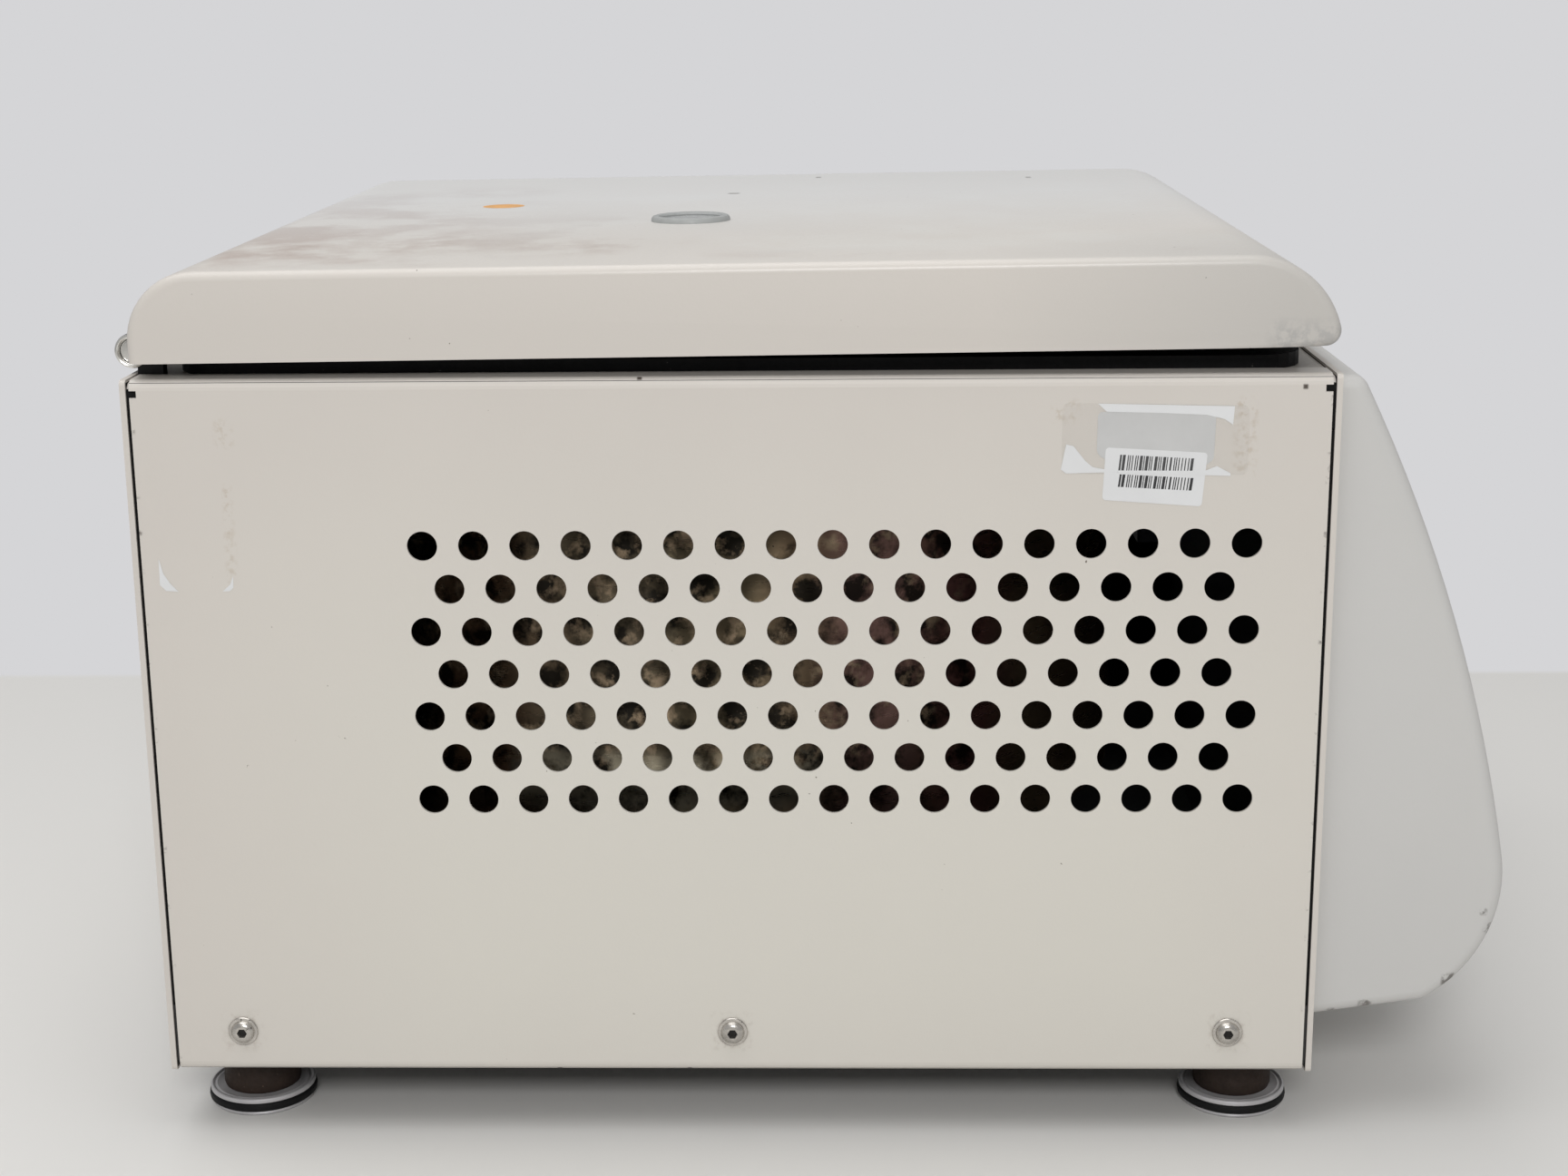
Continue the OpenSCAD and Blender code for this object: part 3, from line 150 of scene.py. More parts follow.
# %% [markdown]
# ## Effects that several finishes share
# An effect is a node group, so that each material can place it with its own values. Mottle is the slow
# change of tone that age gives a surface. Grain is the fine bump of powder paint, moulded plastic or
# rubber. Brushing is grain drawn out along one axis.

# %% Mottle, grain and brushing
def new_group(name, inputs, outputs):
    """An empty node group with float sockets, or vector sockets where the value is None."""
    group = bpy.data.node_groups.new(name, "ShaderNodeTree")
    for key, value in inputs.items():
        kind = "NodeSocketVector" if value is None else "NodeSocketFloat"
        socket = group.interface.new_socket(name=key, in_out="INPUT", socket_type=kind)
        if value is not None:
            socket.default_value = value
    for key in outputs:
        group.interface.new_socket(name=key, in_out="OUTPUT", socket_type="NodeSocketFloat")
    return group, group.nodes.new("NodeGroupInput").outputs, group.nodes.new("NodeGroupOutput").inputs


mottle, given, out = new_group("mottle", {"Place": None, "Scale": 6.0, "Contrast": 0.3}, ["Mask"])
cloud = noise(mottle, given["Place"], given["Scale"], 4.0, 0.6)
low = maths(mottle, "SUBTRACT", 0.5, given["Contrast"])
high = maths(mottle, "ADD", 0.5, given["Contrast"])
mottle.links.new(ranged(mottle, cloud, low, high), out["Mask"])

grain, given, out = new_group("grain", {"Place": None, "Scale": 700.0}, ["Height", "Mask"])
coarse = noise(grain, given["Place"], given["Scale"], 2.0, 0.55)
fine = noise(grain, given["Place"], maths(grain, "MULTIPLY", given["Scale"], 3.1), 1.0)
both = maths(grain, "ADD", maths(grain, "MULTIPLY", coarse, 0.75), maths(grain, "MULTIPLY", fine, 0.25))
grain.links.new(both, out["Height"])
grain.links.new(ranged(grain, both, 0.3, 0.7), out["Mask"])

along = {"Along X": 1.0, "Along Y": 1.0, "Along Z": 1.0}
brushing, given, out = new_group("brushing", {"Place": None, **along}, ["Height", "Mask"])
squeeze = add(brushing, "CombineXYZ", {i: given[key] for i, key in enumerate(along)}).outputs[0]
streaks = noise(brushing, vector(brushing, "MULTIPLY", given["Place"], squeeze), 1.0, 3.0, 0.65)
brushing.links.new(streaks, out["Height"])
brushing.links.new(ranged(brushing, streaks, 0.35, 0.65), out["Mask"])
print("groups", [g.name for g in bpy.data.node_groups])

# %% [markdown]
# Specks are small chips and dirt, which gather where a second, slower noise lets them. Inside is the
# nearness to a box with soft edges, 1 within it and 0 away from it, and keeps a stain in its place.

# %% Specks and inside
wanted = {"Place": None, "Scale": 300.0, "Patch": 12.0, "Amount": 0.3}
specks, given, out = new_group("specks", wanted, ["Mask"])
dots = noise(specks, given["Place"], given["Scale"], 2.0, 0.6)
gathered = noise(specks, given["Place"], given["Patch"], 2.0, 0.5)
edge = maths(specks, "SUBTRACT", 0.95, maths(specks, "MULTIPLY", given["Amount"], gathered))
specks.links.new(ranged(specks, dots, maths(specks, "SUBTRACT", edge, 0.04), edge), out["Mask"])

wanted = {"Place": None, "Centre": None, "Half size": None, "Soft": 0.01}
inside, given, out = new_group("inside", wanted, ["Mask"])
apart = vector(inside, "ABSOLUTE", vector(inside, "SUBTRACT", given["Place"], given["Centre"]))
past = vector(inside, "MAXIMUM", vector(inside, "SUBTRACT", apart, given["Half size"]))
softened = maths(inside, "DIVIDE", distance(inside, past), given["Soft"])
inside.links.new(ranged(inside, softened, 0, 1, 1, 0), out["Mask"])
print("groups", [g.name for g in bpy.data.node_groups])

# %% [markdown]
# ## A finish
# Each finish starts from one recipe: a base colour that drifts, stains, a little dirt, a roughness that
# changes with the grain, and a bump. Values that are the same all over stay on the shader itself.
# The inside of the sheet metal is never seen in full light, so it gets painted shade: it is simply made near
# black and dull.

# %% The finish recipe
CONSTANTS = {"coat": "Coat Weight", "coat_rough": "Coat Roughness", "specular": "Specular IOR Level",
             "alpha": "Alpha"}
PAINTED_INSIDE_SHADE = (0.003, 0.003, 0.003)


def shade(colour, k):
    return tuple(min(1.0, c * k) for c in colour)


def placed(tree, group, **inputs):
    """Puts a shared effect into a material. Socket names are given in lower case."""
    inputs = {key.replace("_", " ").capitalize(): value for key, value in inputs.items()}
    return add(tree, "Group", inputs, node_tree=group)


def stained(tree, place, base, centre, half, soft, tint, amount, scale=None, start=None):
    """The base colour with a tint in a soft box, all over or where a noise is above start."""
    mask = placed(tree, inside, place=place, centre=centre, half_size=half, soft=soft).outputs["Mask"]
    if scale:
        blotch = ranged(tree, noise(tree, place, scale, 5.0, 0.62), start, start + 0.14)
        mask = maths(tree, "MULTIPLY", mask, blotch)
    return mixed(tree, maths(tree, "MULTIPLY", mask, amount), base, tint)


def finish(name, colour, rough=0.5, metallic=0.0, drift=0.06, drift_scale=7.0, grain_scale=700.0,
           bump=0.15, depth=0.1, brush=None, dirt=0.0, dirt_scale=320.0, dirt_colour=(0.05, 0.045, 0.04),
           stains=(), hollow=None, **constants):
    """Makes a material. Stains are what stained takes after the base. Hollow is a box round the inside, as
    its centre and half size, within which the surface gets painted shade: near black and fully rough.
    Constants are named as in CONSTANTS."""
    material = bpy.data.materials.new(name)
    material.use_nodes = True
    tree = material.node_tree
    shader = tree.nodes["Principled BSDF"].inputs
    place = add(tree, "TexCoord").outputs["Object"]
    drifting = placed(tree, mottle, place=place, scale=drift_scale, contrast=0.22).outputs["Mask"]
    base = mixed(tree, drifting, shade(colour, 1 - drift), shade(colour, 1 + drift))
    for stain in stains:
        base = stained(tree, place, base, *stain)
    if dirt:
        spots = placed(tree, specks, place=place, scale=dirt_scale, patch=14.0, amount=dirt)
        base = mixed(tree, spots.outputs["Mask"], base, dirt_colour)
    if brush:
        surface = placed(tree, brushing, place=place)
        for key, value in zip(along, brush):
            surface.inputs[key].default_value = value
    else:
        surface = placed(tree, grain, place=place, scale=grain_scale)
    spread = ranged(tree, surface.outputs["Mask"], 0, 1, rough * 0.86, min(1.0, rough * 1.14))
    if hollow:
        # Painted shade: near black and fully rough within the hollow box.
        shaded_inside = placed(tree, inside, place=place, centre=hollow[0], half_size=hollow[1], soft=0.0002)
        base = mixed(tree, shaded_inside.outputs["Mask"], base, PAINTED_INSIDE_SHADE)
        spread = maths(tree, "MAXIMUM", spread, shaded_inside.outputs["Mask"])
    tree.links.new(base, shader["Base Color"])
    tree.links.new(spread, shader["Roughness"])
    height = surface.outputs["Height"]
    bumped = add(tree, "Bump", {"Strength": bump, "Distance": depth * MM, "Height": height})
    tree.links.new(bumped.outputs[0], shader["Normal"])
    shader["Metallic"].default_value = metallic
    for key, value in constants.items():
        shader[CONSTANTS[key]].default_value = value
    return material


undressed = set(nodes)


def dress(material, *names):
    """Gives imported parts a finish."""
    for name in names:
        nodes[name].data.materials.clear()
        nodes[name].data.materials.append(material)
        undressed.remove(name)
    return material


print(len(undressed), "parts to dress")

# %% [markdown]
# ## Painted sheet metal
# The housing is folded steel sheet in a warm beige, read off the photograph in even light. Its seams,
# folds and bottom rim are chipped, the screws have scuffed the paint, and gum from old labels is left.

# %% Housing paint
BEIGE = (0.597, 0.560, 0.517)
CHIP, RUST_DIRT, GUM = (0.05, 0.035, 0.025), (0.10, 0.075, 0.055), (0.42, 0.34, 0.25)
LEFT, RIGHT = -half_w, half_w
SHEET = 1.35 * MM
# Painted shade: within this box the panels are near black, which also makes their seams black.
HOLLOW = ((0, mid_y, mid_z), (half_w - SHEET, rear_y - mid_y - 2.4 * MM, deck_z - mid_z - SHEET))
SEAM_CHIPS = [((x, y, mid_z), (0.002, 0.0007, 0.158), 0.0012, CHIP, 0.9, 170, 0.60)
              for x in (LEFT, RIGHT) for y in (front_y + 4 * MM, rear_y - 4 * MM)]
RIM_CHIPS = [((x, mid_y, base_z), (0.002, 0.25, 0.0004), 0.0015, CHIP, 0.9, 120, 0.66) for x in (LEFT, RIGHT)]
SCREW_SCUFFS = [((x, mid_y + 2 * MM + i * 221.5 * MM, base_z + 19.6 * MM), (0.002, 0.007, 0.007), 0.004,
                 (0.40, 0.35, 0.30), 0.35, 260, 0.50) for x in (LEFT, RIGHT) for i in (-1, 0, 1)]
LABEL_GUM = [((LEFT, y, z), (0.002, a, b), 0.003, GUM, 0.4, 330, 0.48)
             for y, z, a, b in ((-0.1795, 0.319, 0.003, 0.014), (-0.104, 0.331, 0.004, 0.003),
                                (-0.1795, 0.333, 0.002, 0.002), (0.2525, 0.3235, 0.002, 0.004),
                                (0.2528, 0.280, 0.0003, 0.02))]
# Painted light: the lower part of each side panel is lighter, as if lit by the table below.
PAINTED_BOUNCE_LIGHT = [((x, mid_y - 0.03, base_z + 0.1), (0.001, 0.15, 0.05), 0.16, (0.645, 0.625, 0.562), 0.7)
            for x in (LEFT, RIGHT)]
FOLD_CHIPS = [((LEFT, y, z), (0.003, r, r), 0.0008, CHIP, 0.95)
              for y, z, r in ((0.0752, deck_z - 0.2 * MM, 0.0006), (-0.2038, 0.3412, 0.0006),
                              (0.1188, base_z + 0.4 * MM, 0.0006), (0.0599, base_z + 0.6 * MM, 0.0005))]
PAINT = {"grain_scale": 620.0, "depth": 0.12, "dirt_colour": RUST_DIRT}
dress(finish(
    "painted_beige", BEIGE, 0.42, drift=0.025, drift_scale=5.0, bump=0.35, dirt=0.24, hollow=HOLLOW,
    stains=PAINTED_BOUNCE_LIGHT + SEAM_CHIPS + RIM_CHIPS + SCREW_SCUFFS + LABEL_GUM + FOLD_CHIPS, specular=0.45,
    coat=0.25, coat_rough=0.16, **PAINT), "left_side_panel", "right_side_panel")
dress(finish(
    "painted_edge", shade(BEIGE, 0.99), 0.45, drift=0.03, bump=0.3, dirt=0.27, hollow=HOLLOW,
    stains=SEAM_CHIPS + RIM_CHIPS, specular=0.45, **PAINT), "front_panel", "rear_panel")
# Painted shade: the deck is near black below this box's top, on its underside.
UNDER_DECK = ((0, mid_y, 0.2), (half_w, rear_y - mid_y, deck_z - 0.2 - 4 * MM))
dress(finish(
    "deck_paint", shade(BEIGE, 0.97), 0.45, drift=0.03, bump=0.3, dirt=0.3, hollow=UNDER_DECK, **PAINT),
    "top_deck")
print("housing painted,", len(undressed), "parts to dress")

# %% [markdown]
# The lid has the same paint. Hands and spills have left smears on its rear left, its far side has
# faded, a few small chips show the dark steel, and its front corner is scuffed where it is lifted.
# Its left side carries painted shade: a little darker all along, and darker still towards the front.

# %% Lid paint
SMEAR, SCUFF, FADED, DUST = (0.43, 0.36, 0.32), (0.40, 0.39, 0.375), (0.74, 0.75, 0.76), (0.66, 0.66, 0.63)
TOP_CHIPS = [((x, y, lid_top), (r, q, 0.01), soft, CHIP, amount)
             for x, y, r, q, soft, amount in ((0.1057, 0.05, 0.002, 0.002, 0.002, 0.7),
                                              (0.2098, 0.0042, 0.003, 0.001, 0.001, 0.7),
                                              (0.1841, -0.1187, 0.004, 0.001, 0.001, 0.6))]
LID_STAINS_AND_SHADE = [
    ((-0.03, 0.225, lid_top), (0.16, 0.035, 0.01), 0.06, SMEAR, 0.9, 13, 0.44),
    ((-0.10, 0.150, lid_top), (0.07, 0.05, 0.01), 0.05, SMEAR, 0.75, 18, 0.46),
    ((-0.205, -0.06, lid_top), (0.006, 0.10, 0.01), 0.02, SMEAR, 0.3, 18, 0.50),
    ((0.0, 0.0, lid_top), (0.2, 0.2, 0.01), 0.02, DUST, 0.35, 9, 0.50),
    ((0.17, mid_y, lid_top), (0.08, 0.3, 0.02), 0.24, FADED, 0.6), *TOP_CHIPS,
    # Painted shade on the lid's left side: darker all along, and darker still towards the front.
    ((LEFT, mid_y, lid_z + 0.01), (0.0003, 0.3, 0.03), 0.004, shade(BEIGE, 0.985), 0.9),
    ((LEFT, front_y, lid_z + 0.01), (0.0003, 0.02, 0.03), 0.13, (0.47, 0.455, 0.43), 0.75),
    ((LEFT, lid_corner_y, lid_z + 7 * MM), (0.004, 0.012, 0.003), 0.008, SCUFF, 0.9, 210, 0.42),
]
lid_paint = dress(finish(
    "lid_paint", (0.600, 0.568, 0.528), 0.42, drift=0.025, drift_scale=5.0, bump=0.35, dirt=0.26,
    stains=LID_STAINS_AND_SHADE, specular=0.45, coat=0.2, coat_rough=0.2, **PAINT), "lid_shell")
print("lid painted,", len(undressed), "parts to dress")

# %% [markdown]
# ## Moulded cover, rubber and plastic
# The cover is a cooler grey plastic with small chips along its lower left edge. The feet's buffers are
# dark brown rubber, and the seals, the inlet, the switch and the fan are black.

# %% Cover, rubber and plastic
COVER_SIDE = -234.5 * MM
COVER_CHIPS = [((COVER_SIDE, y, z), (0.008, r, r), 0.0015, CHIP, 0.75, 260, 0.42)
               for y, z, r in ((-0.2435, 0.0594, 0.0020), (-0.2800, 0.0717, 0.0022),
                               (-0.2970, 0.0956, 0.0020), (-0.2937, 0.1042, 0.0006),
                               (-0.2287, 0.0559, 0.0008))]
cover_grey = dress(finish(
    "cover_grey", (0.552, 0.545, 0.530), 0.5, drift=0.02, drift_scale=4.0, grain_scale=480.0, bump=0.3,
    depth=0.12, dirt=0.23, dirt_colour=(0.09, 0.088, 0.085), stains=COVER_CHIPS, specular=0.4), "front_cover")
brown_rubber = dress(finish(
    "brown_rubber", (0.022, 0.013, 0.009), 0.72, drift=0.4, drift_scale=60, grain_scale=500, bump=0.4,
    dirt=0.35, dirt_colour=(0.10, 0.07, 0.05), specular=0.3), "foot_buffers")
black_rubber = dress(finish(
    "black_rubber", (0.006, 0.006, 0.0065), 0.6, drift=0.3, drift_scale=50, grain_scale=900, bump=0.3,
    dirt=0.3, dirt_scale=500, dirt_colour=(0.09, 0.085, 0.08), specular=0.2), "foot_rings", "rubber_mounts",
    "chamber_seal", "shaft_seal")
black_plastic = dress(finish(
    "black_plastic", (0.007, 0.007, 0.008), 0.5, drift=0.2, grain_scale=900, bump=0.25, dirt=0.22,
    dirt_colour=(0.1, 0.095, 0.09), specular=0.25), "lid_liner", "mains_inlet", "switch_frame",
    "fuse_holder", "fan_frame", "fan_rotor", "speed_encoder", "speed_knob")
clouded = dress(finish(
    "window_plastic", (0.30, 0.31, 0.31), 0.22, drift=0.12, drift_scale=60, grain_scale=300, bump=0.08,
    dirt=0.3, dirt_colour=(0.7, 0.7, 0.68), coat=0.4), "lid_window")
rim_grey = dress(finish(
    "grey_rim", (0.34, 0.35, 0.345), 0.45, drift=0.08, drift_scale=80, grain_scale=900, bump=0.2, dirt=0.3,
    dirt_colour=(0.12, 0.11, 0.1)), "window_rim")
dress(finish("rocker_black", (0.010, 0.010, 0.011), 0.25, drift=0.2, bump=0.1), "switch_rocker")
print("plastics done,", len(undressed), "parts to dress")

# %% [markdown]
# ## Metals
# Plain steel parts are zinc plated. The hinge is black steel, made near black so that it also stands in
# for the shade at the rear end of the gap under the lid. The base is near black as painted shade, so
# that the shade under the machine comes out deep. A metal looks like one when its Metallic value is
# near 1 and its roughness follows the way it was brushed or turned.

# %% Metals outside
dress(finish(
    "zinc_sheet", (0.40, 0.41, 0.42), 0.45, 0.8, drift=0.2, drift_scale=90, grain_scale=260, bump=0.1),
    "lock_bracket", "guard_posts", "motor_plate", "fan_guard")
bright = dress(finish(
    "bright_steel", (0.70, 0.69, 0.66), 0.22, 1.0, drift=0.08, drift_scale=60, grain_scale=900, bump=0.06,
    dirt=0.3, dirt_scale=900), "side_screws", "hinge_rod", "lid_strikers")
# Black steel, made near black so that it also stands in for the shade at the rear of the lid gap.
dress(finish(
    "hinge_steel", (0.016, 0.016, 0.017), 0.42, 0.6, drift=0.2, drift_scale=60, dirt=0.3,
    dirt_colour=(0.2, 0.19, 0.18)), "hinge_ears", "lid_knuckles", "lock_shaft")
# Painted shade: the base is near black so that the shade under the machine comes out deep.
dress(finish(
    "base_painted_shade", (0.035, 0.034, 0.034), 0.55, drift=0.2, drift_scale=30, bump=0.3, dirt=0.3,
    dirt_colour=(0.12, 0.11, 0.1)), "base_tray")
foot_plate = dress(finish(
    "foot_plate", (0.50, 0.49, 0.50), 0.4, 0.35, drift=0.12, drift_scale=50, grain_scale=500, dirt=0.3,
    dirt_scale=500), "foot_cups", "foot_discs")
dress(finish(
    "pin_brass", (0.72, 0.52, 0.22), 0.25, 1.0, drift=0.1, drift_scale=300, bump=0.1), "inlet_pins")
print("metals outside done,", len(undressed), "parts to dress")

# %% [markdown]
# Through the vents one sees the guard ring, whose chromate coat has aged into bands of brown, olive and
# violet, with black grime and sandy spots. Its tan band and two pink bands also paint the bright
# reflection streaks of the curved metal. The other parts in here show when the lid is open.

# %% Metals inside
def band(y, half, tint, amount):
    """An upright band on the guard ring, y ahead of or behind the rotor's axis."""
    return (0, rotor_y + y, 0.19), (0.3, half, 0.3), 0.02, tint, amount, 9, 0.30


# Chromate tints; the tan band and the two pink bands also paint bright reflection streaks.
CHROMATE_AND_SHEEN_BANDS = [band(0.15, 0.02, (0.05, 0.06, 0.10), 0.9), band(0.09, 0.012, (0.30, 0.17, 0.10), 0.8),
        band(0.03, 0.03, (0.15, 0.125, 0.085), 0.8), band(-0.02, 0.012, (0.22, 0.18, 0.11), 0.8),
        band(-0.09, 0.012, (0.42, 0.24, 0.21), 0.9), band(-0.13, 0.008, (0.30, 0.13, 0.12), 0.9)]
GRIME = [((0, rotor_y, 0.25), (0.3, 0.13, 0.1), 0.03, (0.015, 0.013, 0.010), 0.95, 55, 0.43),
         ((0, rotor_y, 0.25), (0.3, 0.11, 0.08), 0.03, (0.60, 0.45, 0.30), 0.9, 95, 0.53),
         ((0, 0.07, 0.158), (0.3, 0.065, 0.007), 0.009, (0.56, 0.50, 0.37), 0.95, 70, 0.38)]
dress(finish(
    "chromated_steel", (0.30, 0.215, 0.135), 0.3, 0.8, drift=0.3, drift_scale=30, brush=(30, 30, 300),
    depth=0.05, dirt=0.35, dirt_scale=260, stains=CHROMATE_AND_SHEEN_BANDS + GRIME), "guard_ring")
dress(finish(
    "stainless", (0.56, 0.57, 0.58), 0.28, 1.0, brush=(18, 18, 900), bump=0.12, depth=0.05), "chamber_bowl")
dress(finish("motor_grey", (0.045, 0.048, 0.055), 0.5, drift=0.15, bump=0.3), "motor_can", "motor_cap")
dress(finish(
    "copper", (0.44, 0.16, 0.06), 0.4, 0.6, drift=0.2, brush=(900, 900, 60), bump=0.4, depth=0.2),
    "motor_stator")
bearing_steel = dress(finish(
    "bearing_steel", (0.60, 0.61, 0.62), 0.2, 1.0, brush=(60, 60, 900), bump=0.08), "lower_bearing",
    "upper_bearing", "motor_shaft", "motor_core", "trunnion_pins", "lock_plunger", "lock_spring")
dress(finish(
    "rotor_alloy", (0.42, 0.43, 0.45), 0.36, 1.0, drift=0.05, brush=(60, 700, 700), bump=0.12, depth=0.05),
    "rotor_yoke")
dress(finish(
    "carrier_alloy", (0.21, 0.30, 0.40), 0.36, 0.9, drift=0.08, brush=(500, 60, 500), bump=0.1, depth=0.05,
    dirt=0.3, dirt_colour=(0.55, 0.56, 0.58)), "left_carrier", "right_carrier")
dress(finish("nut_black", (0.022, 0.022, 0.024), 0.38, 0.6, drift=0.2), "rotor_nut")
dress(finish(
    "solenoid_blue", (0.006, 0.010, 0.022), 0.5, drift=0.2, brush=(60, 60, 1500), bump=0.4),
    "lock_solenoid")
print("metals inside done,", len(undressed), "parts to dress")

# %% [markdown]
# ## Controls and boards
# The display is a dark glossy pane. The keys are green, red and grey, and the two circuit boards have
# pale specks that read as pads and print.

# %% Controls and boards
KEY_GRAIN = {"rough": 0.45, "grain_scale": 1200, "bump": 0.2}
dress(finish("display_dark", (0.008, 0.010, 0.011), 0.12, drift=0.1, bump=0.02, coat=0.5), "display_window")
dress(finish(
    "board_green", (0.02, 0.10, 0.045), 0.45, drift=0.25, drift_scale=220, grain_scale=300, bump=0.3,
    dirt=0.4, dirt_scale=420, dirt_colour=(0.5, 0.5, 0.45)), "control_board", "power_board")
key_green = dress(finish("key_green", (0.10, 0.30, 0.12), **KEY_GRAIN), "start_key")
key_red = dress(finish("key_red", (0.42, 0.07, 0.05), **KEY_GRAIN), "stop_key")
key_grey = dress(finish("key_grey", (0.15, 0.19, 0.235), **KEY_GRAIN), "lid_key")
print("parts without a finish:", sorted(undressed))

# %% [markdown]
# ## The floor
# A pale tabletop and a pale wall behind it, both plain. The wall is painted on the floor beyond the
# table's edge, so that the object can be seen from every side with nothing in the way. What the camera
# sees of the wall and of the far table has an even glow of its own, which lights nothing else.

# %% Floor
TABLE, WALL = (0.69, 0.68, 0.66), (0.74, 0.74, 0.755)
TABLE_SEEN, WALL_SEEN = (0.63, 0.62, 0.60), (0.665, 0.665, 0.68)
TABLE_END, FADE_FROM, FADE_TO = 0.502, 0.9, 2.4
bm = bmesh.new()
bmesh.ops.create_grid(bm, x_segments=1, y_segments=1, size=14)
mesh = bpy.data.meshes.new("floor")
bm.to_mesh(mesh)
bm.free()
floor = bpy.data.objects.new("floor", mesh)
bpy.context.collection.objects.link(floor)
floor_finish = bpy.data.materials.new("floor")
floor_finish.use_nodes = True
tree = floor_finish.node_tree
place = add(tree, "TexCoord").outputs["Object"]
beyond = ranged(tree, add(tree, "SeparateXYZ", {0: place}).outputs[0], TABLE_END, TABLE_END + 0.01)
away = ranged(tree, distance(tree, place), FADE_FROM, FADE_TO)
table = tree.nodes["Principled BSDF"]
table.inputs["Roughness"].default_value = 0.6
tree.links.new(mixed(tree, beyond, TABLE, WALL), table.inputs["Base Color"])
by_camera = add(tree, "LightPath").outputs["Is Camera Ray"]
seen = maths(tree, "MULTIPLY", maths(tree, "MAXIMUM", beyond, away), by_camera)
glow = add(tree, "Emission", {"Color": mixed(tree, beyond, TABLE_SEEN, WALL_SEEN)}).outputs[0]
both = add(tree, "MixShader", {0: seen, 1: table.outputs[0], 2: glow})
tree.links.new(both.outputs[0], tree.nodes["Material Output"].inputs["Surface"])
mesh.materials.append(floor_finish)
print("floor ends", TABLE_END, "m to the right, where the wall begins")

# %% [markdown]
# ## The light
# The world gives an even light and two wide lamps add soft shade, as under a laboratory's ceiling
# lights. The one at the side is smaller, so that screws and folds get crisp highlights.

# %% World and lamps
world = bpy.data.worlds.new("world")
bpy.context.scene.world = world
world.use_nodes = True
tree = world.node_tree
even = tree.nodes["Background"]
even.inputs["Color"].default_value = (1, 1, 1, 1)
even.inputs["Strength"].default_value = 0.45
wall_seen = add(tree, "Background", {"Color": (*WALL_SEEN, 1), "Strength": 1.0}).outputs[0]
by_camera = add(tree, "LightPath").outputs["Is Camera Ray"]
both = add(tree, "MixShader", {0: by_camera, 1: even.outputs[0], 2: wall_seen})
tree.links.new(both.outputs[0], tree.nodes["World Output"].inputs["Surface"])


def lamp(name, at, aim, size, watts):
    """A rectangular lamp at one point that shines at another."""
    data = bpy.data.lights.new(name, "AREA")
    data.shape = "RECTANGLE"
    data.size, data.size_y, data.energy = *size, watts
    piece = bpy.data.objects.new(name, data)
    piece.location = at
    piece.rotation_euler = (Vector(aim) - Vector(at)).to_track_quat("-Z", "Y").to_euler()
    bpy.context.collection.objects.link(piece)


lamp("ceiling", (-0.2, 0.5, 2.8), (0, 0, 0.25), (3.0, 2.4), 45)
lamp("side_fill", (-2.4, -0.1, 1.5), (0, 0, 0.2), (0.8, 0.5), 24)
bpy.context.scene.view_settings.view_transform = "Standard"
print("lamps", [light.name for light in bpy.data.lights])

# %% [markdown]
# ## From mesh to piece
# A piece is drawn in a bmesh and becomes an object at the origin, with its place in its mesh, so
# that its pattern stays put when the piece moves. Every piece rides on a body.


def linked(name, bm):
    """Turns a bmesh into an object in the scene."""
    mesh = bpy.data.meshes.new(name)
    bm.to_mesh(mesh)
    bm.free()
    piece = bpy.data.objects.new(name, mesh)
    bpy.context.collection.objects.link(piece)
    return piece


def made(name, bm, material, body, smooth=35, replaces=()):
    """Turns a bmesh into a finished piece that rides on a body."""
    piece = linked(name, bm)
    piece.data.materials.append(material)
    if smooth:
        piece.data.shade_smooth()
        piece.data.set_sharp_from_angle(angle=math.radians(smooth))
    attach(piece, body)
    if replaces:
        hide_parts(*replaces)
    return piece


def settled(piece):
    """Applies the modifiers of a piece to its mesh."""
    graph = bpy.context.evaluated_depsgraph_get()
    mesh = bpy.data.meshes.new_from_object(piece.evaluated_get(graph))
    piece.modifiers.clear()
    old, piece.data = piece.data, mesh
    mesh.name = piece.name
    bpy.data.meshes.remove(old)


def thickened(piece, wall):
    """Gives an open shell its wall, on the inside."""
    shell = piece.modifiers.new("shell", "SOLIDIFY")
    shell.thickness, shell.offset, shell.use_even_offset = wall, -1, True
    settled(piece)


def cut(piece, bm, sharp=35):
    """Cuts the closed solids in bm out of a piece."""
    tool = linked("cutter", bm)
    mod = piece.modifiers.new("cut", "BOOLEAN")
    mod.object, mod.operation, mod.solver = tool, "DIFFERENCE", "EXACT"
    settled(piece)
    bpy.data.objects.remove(tool)
    piece.data.set_sharp_from_angle(angle=math.radians(sharp))


# %% [markdown]
# ## Turning, sweeping and drawing out
# Round pieces are turned: a profile is spun about an axis. The lid and the cover have an outline of
# straight and round stretches, where a vertex is spun by so many degrees, and are drawn out sideways.

